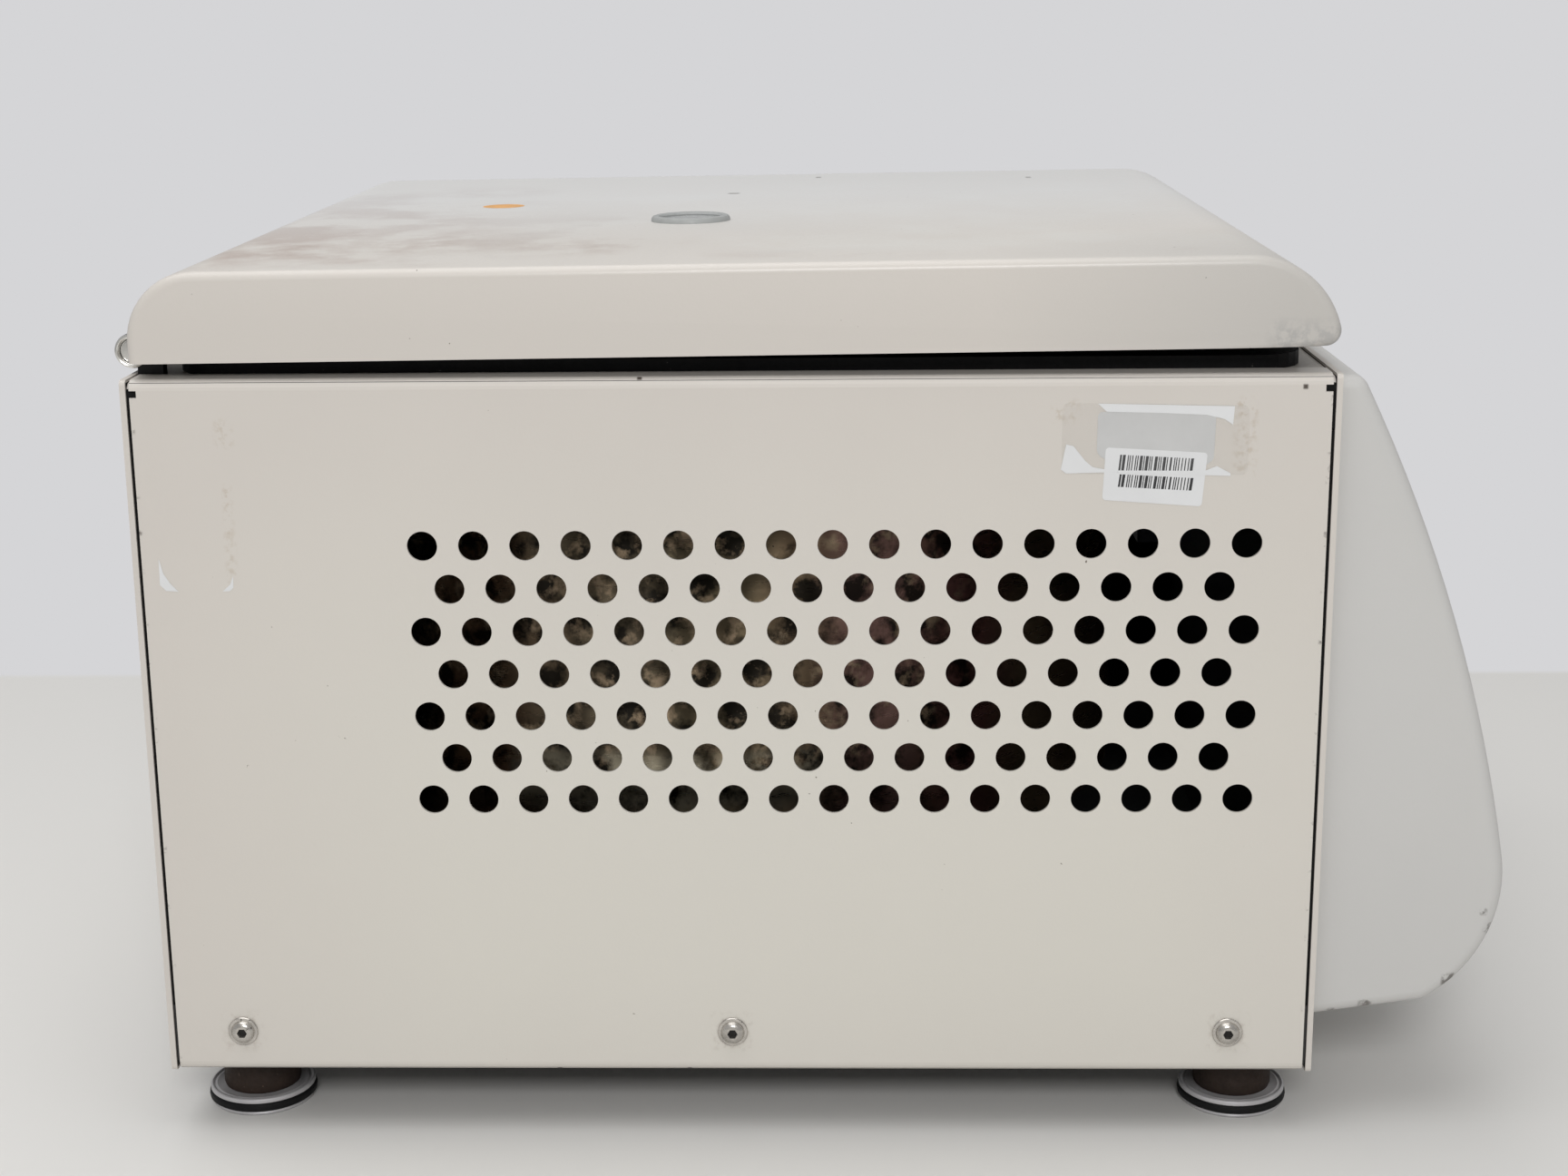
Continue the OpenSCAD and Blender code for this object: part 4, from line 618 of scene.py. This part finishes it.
# %% Shape helpers
def turned(bm, profile, centre, axis="Z", steps=64):
    """Spins a profile of (radius, height) points, in millimetres, about an axis through the centre."""
    spin_axis = {"X": Vector((1, 0, 0)), "Y": Vector((0, 1, 0)), "Z": Vector((0, 0, 1))}[axis]
    out = Vector((0, 0, 1)) if axis != "Z" else Vector((1, 0, 0))
    centre = Vector(centre)
    verts = [bm.verts.new(centre + out * (r * MM) + spin_axis * (h * MM)) for r, h in profile]
    edges = [bm.edges.new(pair) for pair in zip(verts, verts[1:])]
    before = set(bm.faces)
    bmesh.ops.spin(bm, geom=verts + edges, cent=centre, axis=spin_axis, angle=2 * math.pi, steps=steps,
                   use_merge=True)
    points = dict.fromkeys(v for f in bm.faces if f not in before for v in f.verts)
    bmesh.ops.remove_doubles(bm, verts=list(points), dist=1e-7)
    bmesh.ops.recalc_face_normals(bm, faces=[f for f in bm.faces if f not in before])


def swept(bm, start, turns):
    """Draws an outline: from a point, straight to another or round a centre by degrees about +X."""
    first = v = bm.verts.new(start)
    for kind, *rest in turns:
        if kind == "to":
            w = bm.verts.new(rest[0])
            bm.edges.new((v, w))
            v = w
        else:
            centre, degrees, steps = rest
            got = bmesh.ops.spin(bm, geom=[v], cent=centre, axis=(1, 0, 0), angle=math.radians(degrees),
                                 steps=steps)
            v = next(g for g in got["geom_last"] if isinstance(g, bmesh.types.BMVert))
    bm.edges.new((v, first))
    bmesh.ops.remove_doubles(bm, verts=bm.verts[:], dist=1e-6)


def drawn_out(bm, faces, by):
    """Draws flat faces out by a vector into closed solids. Returns the corners that moved."""
    got = bmesh.ops.extrude_face_region(bm, geom=faces)
    moved = [g for g in got["geom"] if isinstance(g, bmesh.types.BMVert)]
    bmesh.ops.translate(bm, vec=by, verts=moved)
    bmesh.ops.recalc_face_normals(bm, faces=bm.faces[:])
    return moved


def filled_and_drawn(bm, width):
    """Fills the closed outline in bm and draws it out along X. Returns the side edges."""
    drawn_out(bm, bmesh.ops.contextual_create(bm, geom=bm.edges[:])["faces"], (width, 0, 0))
    return [e for e in bm.edges if abs(e.verts[0].co.x - e.verts[1].co.x) < 1e-6]


def soften(bm, edges, radius, segments=5):
    bmesh.ops.bevel(bm, geom=edges, offset=radius, offset_type="OFFSET", segments=segments, profile=0.5,
                    affect="EDGES", material=-1, clamp_overlap=False)


def open_side(bm, test):
    """Deletes the faces for which the test of their middle holds."""
    gone = [f for f in bm.faces if test(f.calc_center_median())]
    bmesh.ops.delete(bm, geom=gone, context="FACES")


def peg(bm, radius, length, segments, matrix):
    """A closed cylinder along +Z, in millimetres, put in place by a matrix."""
    bmesh.ops.create_cone(bm, cap_ends=True, segments=segments, radius1=radius * MM, radius2=radius * MM,
                          depth=length * MM, matrix=matrix)


print("shape helpers ready")

# %% [markdown]
# ## The lid
# The real lid is a folded and welded sheet: a flat top that rolls over into a round nose and a small
# front lip, with soft side edges. Its outline is swept once, filled, drawn out across the machine and
# bevelled along the sides. The bottom and a slot for the hinge are then opened, and the sheet gets its
# thickness. It is drawn closed and then turned about the hinge to where it stands.

# %% Lid
nose_r, lip_r, rear_r, edge_r, lid_wall = (c * MM for c in (40, 6.5, 30, 4, 2))
lid_front, lid_rear = front_y + 1 * MM, rear_y - 4 * MM
nose_dz = nose_r - lid_h + lip_r
nose_dy = math.sqrt((nose_r - lip_r) ** 2 - nose_dz ** 2)
nose_turn = math.degrees(math.atan2(nose_dz, nose_dy))
lip_y = lid_front + lip_r
slot_x, slot_z, slot_y = half_w - 19 * MM, hinge_z + 9 * MM, lid_rear - 25 * MM


def ajar(bm):
    """Raises a piece that was drawn on the closed lid to where the lid stands."""
    bmesh.ops.rotate(bm, cent=(0, hinge_y, hinge_z), matrix=Matrix.Rotation(-AJAR, 3, "X"), verts=bm.verts)


bm = bmesh.new()
swept(bm, (LEFT, lid_rear, lid_z), [
    ("to", (LEFT, lid_rear, lid_top - rear_r)),
    ("round", (LEFT, lid_rear - rear_r, lid_top - rear_r), 90, 12),
    ("to", (LEFT, lip_y + nose_dy, lid_top)),
    ("round", (LEFT, lip_y + nose_dy, lid_top - nose_r), 90 - nose_turn, 20),
    ("round", (LEFT, lip_y, lid_z + lip_r), 90 + nose_turn, 14),
])
sides = filled_and_drawn(bm, 2 * half_w)
soften(bm, [e for e in sides if max(v.co.z for v in e.verts) > lid_z + 1e-5], edge_r)
open_side(bm, lambda c: abs(c.z - lid_z) < 1e-5)
for at, normal in (((-slot_x, 0, 0), (1, 0, 0)), ((slot_x, 0, 0), (1, 0, 0)), ((0, 0, slot_z), (0, 0, 1))):
    near = [f for f in bm.faces if f.calc_center_median().y > slot_y]
    rear = list({g for f in near for g in (f, *f.edges, *f.verts)})
    bmesh.ops.bisect_plane(bm, geom=rear, plane_co=at, plane_no=normal)
open_side(bm, lambda c: abs(c.x) < slot_x and c.z < slot_z and c.y > slot_y)
ajar(bm)
lid_skin = made("lid_skin", bm, lid_paint, "lid", replaces=["lid_shell"])
thickened(lid_skin, lid_wall)
bm = bmesh.new()
peg(bm, 15.2, 30, 64, Matrix.Translation(window_at))
ajar(bm)
cut(lid_skin, bm)
print("lid", len(lid_skin.data.polygons), "faces")

# %% [markdown]
# ## The front cover
# The moulded cover bulges out of the front: a long, nearly flat face that leans back, a big round
# chin and a small brow. It is made as the lid is, then the display and the keys get their openings.

# %% Where things lie on the cover
reach, chin_r, chin_h, face_r, brow_r, cover_wall = (c * MM for c in (83, 66, 88, 740, 9, 3))
chin_turn, chin_end = math.radians(9.5), math.radians(-60)
cover_low, cover_top = 23.7 * MM, deck_z - base_z - 1.8 * MM
cover_w, display_h, keys_h, key_pitch = (c * MM for c in (469, 240, 197, 34))
chin_u = reach - chin_r
face_u = chin_u - (face_r - chin_r) * math.cos(chin_turn)
face_v = chin_h - (face_r - chin_r) * math.sin(chin_turn)
brow_v = cover_top - brow_r
brow_turn = math.asin((brow_v - face_v) / (face_r - brow_r))
brow_u = face_u + (face_r - brow_r) * math.cos(brow_turn)


def ahead(u, v, x=0.0):
    """The point u ahead of the front panel and v above the panels' bottom edge."""
    return Vector((x, front_y - u, base_z + v))


def on_face(v, x=0.0):
    """A frame on the cover's face, with +Z out of it and +Y up along it."""
    a = math.asin((v - face_v) / face_r)
    at = ahead(face_u + face_r * math.cos(a), v, x)
    return Matrix.Translation(at) @ Matrix.Rotation(math.pi / 2 - a, 4, "X")


def display_opening():
    """A box that cuts the display's opening through what lies on the cover's face."""
    bm = bmesh.new()
    size = Matrix.Diagonal((110 * MM, 44 * MM, 16 * MM, 1))
    bmesh.ops.create_cube(bm, size=1.0, matrix=on_face(display_h) @ size)
    return bm


print("cover reaches", round(reach, 3), "m ahead of the front panel")

# %% [markdown]
# The outline runs from the bottom round the chin, up the face and over the brow. Its back stays open,
# where the cover meets the front panel.

# %% Front cover
left = -cover_w / 2
bm = bmesh.new()
swept(bm, ahead(0, cover_low, left), [
    ("to", ahead(chin_u + chin_r * math.cos(chin_end), chin_h + chin_r * math.sin(chin_end), left)),
    ("round", ahead(chin_u, chin_h, left), math.degrees(chin_end - chin_turn), 20),
    ("round", ahead(face_u, face_v, left), math.degrees(chin_turn - brow_turn), 16),
    ("round", ahead(brow_u, brow_v, left), math.degrees(brow_turn) - 90, 8),
    ("to", ahead(0, cover_top, left)),
])
sides = filled_and_drawn(bm, cover_w)
soften(bm, [e for e in sides if min(v.co.y for v in e.verts) < front_y - 1e-5], 6 * MM, 6)
open_side(bm, lambda c: abs(c.y - front_y) < 1e-5)
cover_skin = made("cover_skin", bm, cover_grey, "housing", replaces=["front_cover"])
thickened(cover_skin, cover_wall)
bm = display_opening()
for i in (-1, 0, 1):
    peg(bm, 8.9, 16, 48, on_face(keys_h, i * key_pitch))
cut(cover_skin, bm)
print("cover", len(cover_skin.data.polygons), "faces")

# %% [markdown]
# ## The feet
# Each foot is a turned stack: a bright disc on the table, a black rubber ring, a bright saucer with
# a raised lip, and a brown rubber buffer that the weight has made bulge a little.

# %% Feet
foot_at = [Vector((x, y, 0)) for x in (38.5 * MM - half_w, half_w - 38.5 * MM)
           for y in (front_y + 29 * MM, rear_y - 31.5 * MM)]
FOOT = {
    "foot_disc": ("foot_discs", foot_plate,
                  [(0, 0), (21.5, 0), (23.2, 0.3), (23.6, 1.2), (23.2, 2.2), (0, 2.2)]),
    "foot_ring": ("foot_rings", black_rubber,
                  [(0, 2.2), (23.9, 2.2), (24.7, 2.8), (24.9, 4.0), (24.7, 5.2), (24.0, 5.9), (0, 5.9)]),
    "foot_cup": ("foot_cups", foot_plate,
                 [(0, 5.9), (23.4, 5.9), (24.2, 6.5), (24.3, 7.6), (24, 8.3), (23.4, 8.6), (22.8, 8.4),
                  (22.3, 8), (21.8, 8), (21.3, 8.3), (20.6, 8.2), (19.5, 7.9), (17, 7.8), (0, 7.8)]),
    "foot_buffer": ("foot_buffers", brown_rubber,
                    [(0, 7.8), (16.4, 7.8), (17.3, 8.3), (17.8, 9.8), (17.7, 14), (17.2, 20), (17.6, 27),
                     (18, 30), (17.6, 31.2), (16.8, 31.5), (0, 31.5)]),
}
for name, (node, material, profile) in FOOT.items():
    bm = bmesh.new()
    for at in foot_at:
        turned(bm, profile, at)
    made(name, bm, material, "housing", replaces=[node])
print("feet at", [tuple(round(c, 3) for c in p) for p in foot_at])

# %% [markdown]
# ## The window in the lid
# A grey moulded ring holds a cloudy lens, through which the rotor can be watched. Both are turned.

# %% Lid window
lens_low = (lid_z - 1.6 * MM - lid_top) / MM
bm = bmesh.new()
turned(bm, [(0, lens_low), (15, lens_low), (15.15, lens_low + 0.3), (15.15, 0.9), (13.5, 1.25), (9, 1.5),
            (0, 1.6)], window_at)
ajar(bm)
made("window_lens", bm, clouded, "lid", replaces=["lid_window"])
bm = bmesh.new()
turned(bm, [(15.2, 0), (15.2, 1.7), (15.9, 2.5), (17.2, 2.8), (18.6, 2.4), (19.4, 1.3), (19.5, 0), (15.2, 0)],
       window_at)
ajar(bm)
made("window_ring", bm, rim_grey, "lid", replaces=["window_rim"])
print("window", round(window_at[0], 4), "m from the middle, lens", round(-lens_low, 1), "mm deep")

# %% [markdown]
# ## Labels and what is left of labels
# The left side carries a torn paper label under clear tape, a small white label with plain ruled bars
# and the corners of a sticker that was peeled off. Each is a thin patch just off the paint, drawn from
# a flat outline. They have no words or numbers. Papers that overlap lie at different heights.

# %% Labels on the side
THIN = {"bump": 0.1, "depth": 0.03}
paper = finish(
    "label_paper", (0.68, 0.685, 0.69), 0.55, drift=0.03, drift_scale=40, grain_scale=2500, **THIN)
ghost = finish(
    "label_ghost", (0.52, 0.52, 0.515), 0.35, drift=0.04, drift_scale=60, grain_scale=900, **THIN)
tape = finish(
    "clear_tape", (0.66, 0.63, 0.59), 0.2, drift=0.05, drift_scale=60, grain_scale=300, alpha=0.06, **THIN)


def patch(name, outlines, lift, material, round_by=0.0, thick=0.05):
    """Thin patches on the left side panel, from outlines of (y, z) in millimetres."""
    bm = bmesh.new()
    for outline in outlines:
        verts = [bm.verts.new((LEFT - lift * MM, y * MM, z * MM)) for y, z in outline]
        bm.faces.new(verts)
        if round_by:
            bmesh.ops.bevel(bm, geom=verts, offset=round_by * MM, offset_type="OFFSET", segments=5,
                            profile=0.5, affect="VERTICES", material=-1)
    drawn_out(bm, bm.faces[:], (-thick * MM, 0, 0))
    return made(name, bm, material, "housing", smooth=0)


patch("side_tape", [[(-102.6, 334.9), (-181, 333.4), (-181, 303.6), (-102.6, 304.6)]], 0.02, tape, round_by=3)
patch("side_paper_ghost", [
    [(-117.5, 331), (-167, 330), (-166.5, 310), (-159, 305.6), (-128, 306), (-117.3, 313)],
], 0.08, ghost, round_by=2)
patch("side_paper_torn", [
    [(-117.4, 334.5), (-174.6, 333.1), (-174.1, 325.2), (-170.6, 327.6), (-163, 329.5), (-144, 330.4),
     (-121.2, 331)],
    [(-104.4, 317.2), (-102.3, 306.4), (-104.6, 304.7), (-126.8, 305.2), (-115.7, 307.4), (-112.6, 310),
     (-107.5, 316.4)],
    [(-126, 305.9), (-126, 304.9), (-173.8, 303.3), (-173.7, 304.5), (-167.9, 307.6), (-163, 305.6)],
], 0.14, paper)
patch("side_label", [[(-121.1, 315.8), (-163.9, 313.3), (-162, 290.2), (-120, 293.2)]], 0.09, paper,
      round_by=1.5)
corners = patch("old_sticker_corners", [
    [(284.2, 269.4), (284.4, 257.5), (281.8, 254.9), (276.5, 254.5), (279.8, 258), (282.6, 262.5)],
    [(252.4, 261.3), (253.9, 257.6), (257.4, 254.5), (254.2, 254.7), (252.6, 256.2)],
], 0.1, paper)
print("papers on the side, the corners have", len(corners.data.polygons), "faces")

# %% [markdown]
# The plain bars on the small label are cut to a few widths at random, always the same for one seed.
# They lie in two rows that follow the label's slope, the upper one faded.

# %% Label bars
ink = finish("label_ink", (0.02, 0.02, 0.022), 0.5, drift=0.3, drift_scale=300, grain_scale=2500, bump=0.1)
faded = finish(
    "faded_ink", (0.05, 0.05, 0.052), 0.4, drift=0.2, drift_scale=300, grain_scale=2500, bump=0.1)
rng = random.Random(7)
LABEL_Y, FIRST_BAR, LAST_BAR, SLOPE, LEAN = -121.1, -127.2, -158.6, 0.058, 0.7
ROWS = {"faded": (313.0, 306.2), "ink": (304.6, 299.2)}
bars = {row: [] for row in ROWS}
y = FIRST_BAR
while y > LAST_BAR:
    width = rng.choice((0.45, 0.45, 0.8, 1.2))
    drop = (LABEL_Y - y) * SLOPE
    for row, (top, bottom) in ROWS.items():
        bars[row].append([(y, top - drop), (y - width, top - drop), (y - width + LEAN, bottom - drop),
                          (y + LEAN, bottom - drop)])
    y -= width + rng.choice((0.4, 0.6, 0.9))
patch("label_bars", bars["ink"], 0.15, ink, thick=0.02)
patch("label_bars_faded", bars["faded"], 0.15, faded, thick=0.02)
print("bars in a row:", len(bars["ink"]))

# %% [markdown]
# The lid has one round orange sticker at the rear.

# %% Lid sticker
orange = finish(
    "orange_sticker", (0.72, 0.36, 0.10), 0.45, drift=0.12, drift_scale=120, grain_scale=900, bump=0.1,
    depth=0.04, dirt=0.3)
bm = bmesh.new()
turned(bm, [(0, 0.02), (11, 0.02), (11, 0.09), (0, 0.12)], (0.048, 0.170, lid_top), steps=48)
ajar(bm)
sticker = made("lid_sticker", bm, orange, "lid")
print("sticker", len(sticker.data.polygons), "faces")

# %% [markdown]
# ## Hinge ends
# At the rear corners a turned bush and the polished end of the rod show beside the lid.

# %% Hinge ends
ROD_END = [(0, 0), (4.6, 0), (4.6, 0.9), (4.2, 1.3), (0, 1.5)]
BUSH = [(5.2, 0), (7.2, 0), (7.4, 0.4), (7.2, 1.1), (6.4, 1.4), (5.6, 1.1), (5.2, 0.6), (5.2, 0)]
bush_x = half_w - 20 * MM
bm = bmesh.new()
for side in (-1, 1):
    for profile in (ROD_END, BUSH):
        turned(bm, [(r, side * h) for r, h in profile], (side * bush_x, hinge_y, hinge_z), "X", 48)
hinge_ends = made("hinge_ends", bm, bright, "housing")
print("hinge ends", len(hinge_ends.data.polygons), "faces")

# %% [markdown]
# ## Side screws
# Six flanged button screws hold the side panels. Each is a turned flange and dome with a hex socket
# cut into it. The bottom of the socket is a separate near-black piece, as painted shade in the recess.

# %% Side screws
screw_steel = finish(
    "screw_steel", (0.50, 0.475, 0.44), 0.26, 0.9, drift=0.25, drift_scale=140, grain_scale=500, bump=0.25,
    dirt=0.42, dirt_scale=600)
# Painted shade at the bottom of each hex socket.
socket_shade = finish("socket_shade", (0.012, 0.010, 0.009), 0.7, drift=0.2, bump=0.1)
screw_low, screw_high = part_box("side_screws")
screw_r, screw_z = (screw_high[2] - screw_low[2]) / 2, (screw_low[2] + screw_high[2]) / 2
screw_ys = [screw_low[1] + screw_r, (screw_low[1] + screw_high[1]) / 2, screw_high[1] - screw_r]
DOME = [(0, 0.02), (6.2, 0.02), (6.75, 0.25), (6.8, 0.7), (6.5, 1.1), (5.6, 1.25), (5.3, 1.2), (5.15, 1.45),
        (4.9, 2.1), (4.2, 2.75), (3.2, 3.2), (2.9, 3.25), (0, 3.25)]
heads, sockets, floors = bmesh.new(), bmesh.new(), bmesh.new()
for side in (-1, 1):
    for y in screw_ys:
        at = Vector((side * half_w, y, screw_z))
        turned(heads, [(r, side * h) for r, h in DOME], at, "X", 48)
        outward = Matrix.Translation(at) @ Matrix.Rotation(side * math.pi / 2, 4, "Y")
        for bm, radius, near, far in ((sockets, 2.3, 1.0, 4.0), (floors, 2.25, 0.9, 1.15)):
            peg(bm, radius, far - near, 6, outward @ Matrix.Translation((0, 0, (near + far) / 2 * MM)))
screw_heads = made("screw_heads", heads, screw_steel, "housing", replaces=["side_screws"])
cut(screw_heads, sockets, sharp=40)
made("screw_sockets", floors, socket_shade, "housing", smooth=0)
print("screws at", [round(y, 4) for y in screw_ys])

# %% [markdown]
# ## Keys
# The keys are turned caps with a raised rim. They carry plain raised signs: a triangle to start, a
# square to stop and an arrow over a bar to open the lid.

# %% Keys
sign_white = finish("sign_white", (0.78, 0.78, 0.76), 0.5, drift=0.04, grain_scale=1500, bump=0.1)
KEY_TOP = 1.7
KEY = [(0, -11.2), (3, -11.2), (3, -5), (10.4, -5), (10.4, -3.5), (8.5, -3.5), (8.5, 1.6), (8.2, 2.05),
       (7.7, 2.2), (6.6, 1.9), (5.4, KEY_TOP), (0, KEY_TOP)]
TRIANGLE = [(-2.6, -3.4), (3.6, 0), (-2.6, 3.4)]
SQUARE = [(-2.9, -2.9), (2.9, -2.9), (2.9, 2.9), (-2.9, 2.9)]
ARROW = [(-3.6, -0.4), (3.6, -0.4), (0, 3.6)]
BAR = [(-3.6, -3.2), (3.6, -3.2), (3.6, -1.8), (-3.6, -1.8)]
KEYS = (("start", key_green, [TRIANGLE]), ("stop", key_red, [SQUARE]), ("lid", key_grey, [ARROW, BAR]))


def plate(bm, outline, matrix, low, high):
    """A thin plate from an outline in millimetres, drawn out between two heights."""
    verts = [bm.verts.new((x * MM, y * MM, low * MM)) for x, y in outline]
    moved = drawn_out(bm, [bm.faces.new(verts)], (0, 0, (high - low) * MM))
    bmesh.ops.transform(bm, matrix=matrix, verts=verts + moved)


for i, (key, material, outlines) in enumerate(KEYS, start=-1):
    node, body = key + "_key", key + "_push"
    at = on_face(keys_h, i * key_pitch)
    bm = bmesh.new()
    turned(bm, KEY, (0, 0, 0), steps=48)
    bmesh.ops.transform(bm, matrix=at, verts=bm.verts[:])
    made(node + "_cap", bm, material, body, replaces=[node])
    bm = bmesh.new()
    for outline in outlines:
        plate(bm, outline, at, KEY_TOP + 0.02, KEY_TOP + 0.22)
    made(key + "_sign", bm, sign_white, body, smooth=0)
print("keys", [key for key, *_ in KEYS])

# %% [markdown]
# ## The display's bezel
# A thin moulded frame lies on the cover round the display. It is a plate with rounded corners and a
# softened front edge, and gets the same opening as the cover.

# %% Display bezel
bezel_grey = finish("bezel_grey", (0.055, 0.058, 0.062), 0.42, drift=0.08, grain_scale=900, bump=0.25)
bezel_x, bezel_y, bezel_back, bezel_front = 58.5, 25.5, -0.8, 1.4
bm = bmesh.new()
plate(bm, [(-bezel_x, -bezel_y), (bezel_x, -bezel_y), (bezel_x, bezel_y), (-bezel_x, bezel_y)], Matrix(),
      bezel_back, bezel_front)
soften(bm, [e for e in bm.edges if abs(e.verts[0].co.z - e.verts[1].co.z) > 1 * MM], 4 * MM)
soften(bm, [e for e in bm.edges if min(v.co.z for v in e.verts) > (bezel_front - 0.1) * MM], 0.6 * MM, 3)
bmesh.ops.transform(bm, matrix=on_face(display_h), verts=bm.verts[:])
bezel = made("display_bezel", bm, bezel_grey, "housing")
cut(bezel, display_opening())
print("bezel", len(bezel.data.polygons), "faces")

# %% [markdown]
# ## The speed knob
# The knob is a turned cap with eighteen grip grooves cut into its side and a white pointer on top.
# Eleven ticks on the cover, with a long one at each end and in the middle, show how far it is turned.

# %% Speed knob
knob_x, knob_y, groove_r, grooves = 105, -21.3, 14.9, 18
KNOB_AT = on_face(display_h) @ Matrix.Translation((knob_x * MM, knob_y * MM, 0))
bm = bmesh.new()
turned(bm, [(0, 1.2), (14.7, 1.2), (15, 1.6), (15, 2.6), (14.5, 3.2), (13.9, 15), (13.2, 16), (12.4, 16.2),
            (11.4, 15.8), (0, 15.5)], (0, 0, 0), steps=72)
bmesh.ops.transform(bm, matrix=KNOB_AT, verts=bm.verts[:])
knob = made("knob_cap", bm, black_plastic, "knob", replaces=["speed_knob"])
bm = bmesh.new()
for k in range(grooves):
    a = 2 * math.pi * k / grooves
    at = Vector((groove_r * math.cos(a), groove_r * math.sin(a), 12)) * MM
    peg(bm, 1.1, 16, 16, KNOB_AT @ Matrix.Translation(at))
cut(knob, bm)
bm = bmesh.new()
plate(bm, [(-0.6, 4), (0.6, 4), (0.6, 11), (-0.6, 11)], KNOB_AT, 15.5, 15.95)
made("knob_pointer", bm, sign_white, "knob", smooth=0)
bm = bmesh.new()
tick_r, across = 20.5, 0.956
for k in range(11):
    a = math.radians(150 - 30 * k)
    x, up = knob_x + tick_r * math.sin(a), (knob_y + tick_r * math.cos(a)) * across
    half = 2.2 if k % 5 == 0 else 1.3
    at = on_face(display_h + up * MM, x * MM) @ Matrix.Rotation(-a, 4, "Z")
    plate(bm, [(-0.35, -half), (0.35, -half), (0.35, half), (-0.35, half)], at, -0.1, 0.08)
made("knob_ticks", bm, ink, "housing", smooth=0)
print("knob at", [round(c, 4) for c in KNOB_AT.translation])

# %% [markdown]
# ## The lock's spring
# A coil of round wire pushes the solenoid's plunger back up. A small circle is spun about the plunger
# while it climbs.

# %% Lock spring
spring_low, spring_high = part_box("lock_spring")
spring_x, spring_y = ((a + b) / 2 for a, b in zip(spring_low[:2], spring_high[:2]))
spring_tall = spring_high[2] - spring_low[2]
WIRE, COIL_R, CURLS, STEPS, PULL = 0.6 * MM, 6.1 * MM, 7, 22, 6.59 * MM
bm = bmesh.new()
bmesh.ops.create_circle(bm, cap_ends=False, segments=10, radius=WIRE)
bmesh.ops.rotate(bm, cent=(0, 0, 0), matrix=Matrix.Rotation(math.pi / 2, 3, "X"), verts=bm.verts)
bmesh.ops.translate(bm, vec=(spring_x + COIL_R, spring_y, spring_low[2] + WIRE), verts=bm.verts)
bmesh.ops.spin(bm, geom=bm.verts[:] + bm.edges[:], cent=(spring_x, spring_y, 0), axis=(0, 0, 1),
               dvec=(0, 0, (spring_tall - 2 * WIRE) / (CURLS * STEPS)), angle=2 * math.pi * CURLS,
               steps=CURLS * STEPS)
bmesh.ops.holes_fill(bm, edges=[e for e in bm.edges if e.is_boundary])
bmesh.ops.recalc_face_normals(bm, faces=bm.faces[:])
spring = made("spring_coil", bm, bearing_steel, "housing", replaces=["lock_spring"])
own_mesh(spring)
print("spring", round(spring_tall, 4), "m tall")
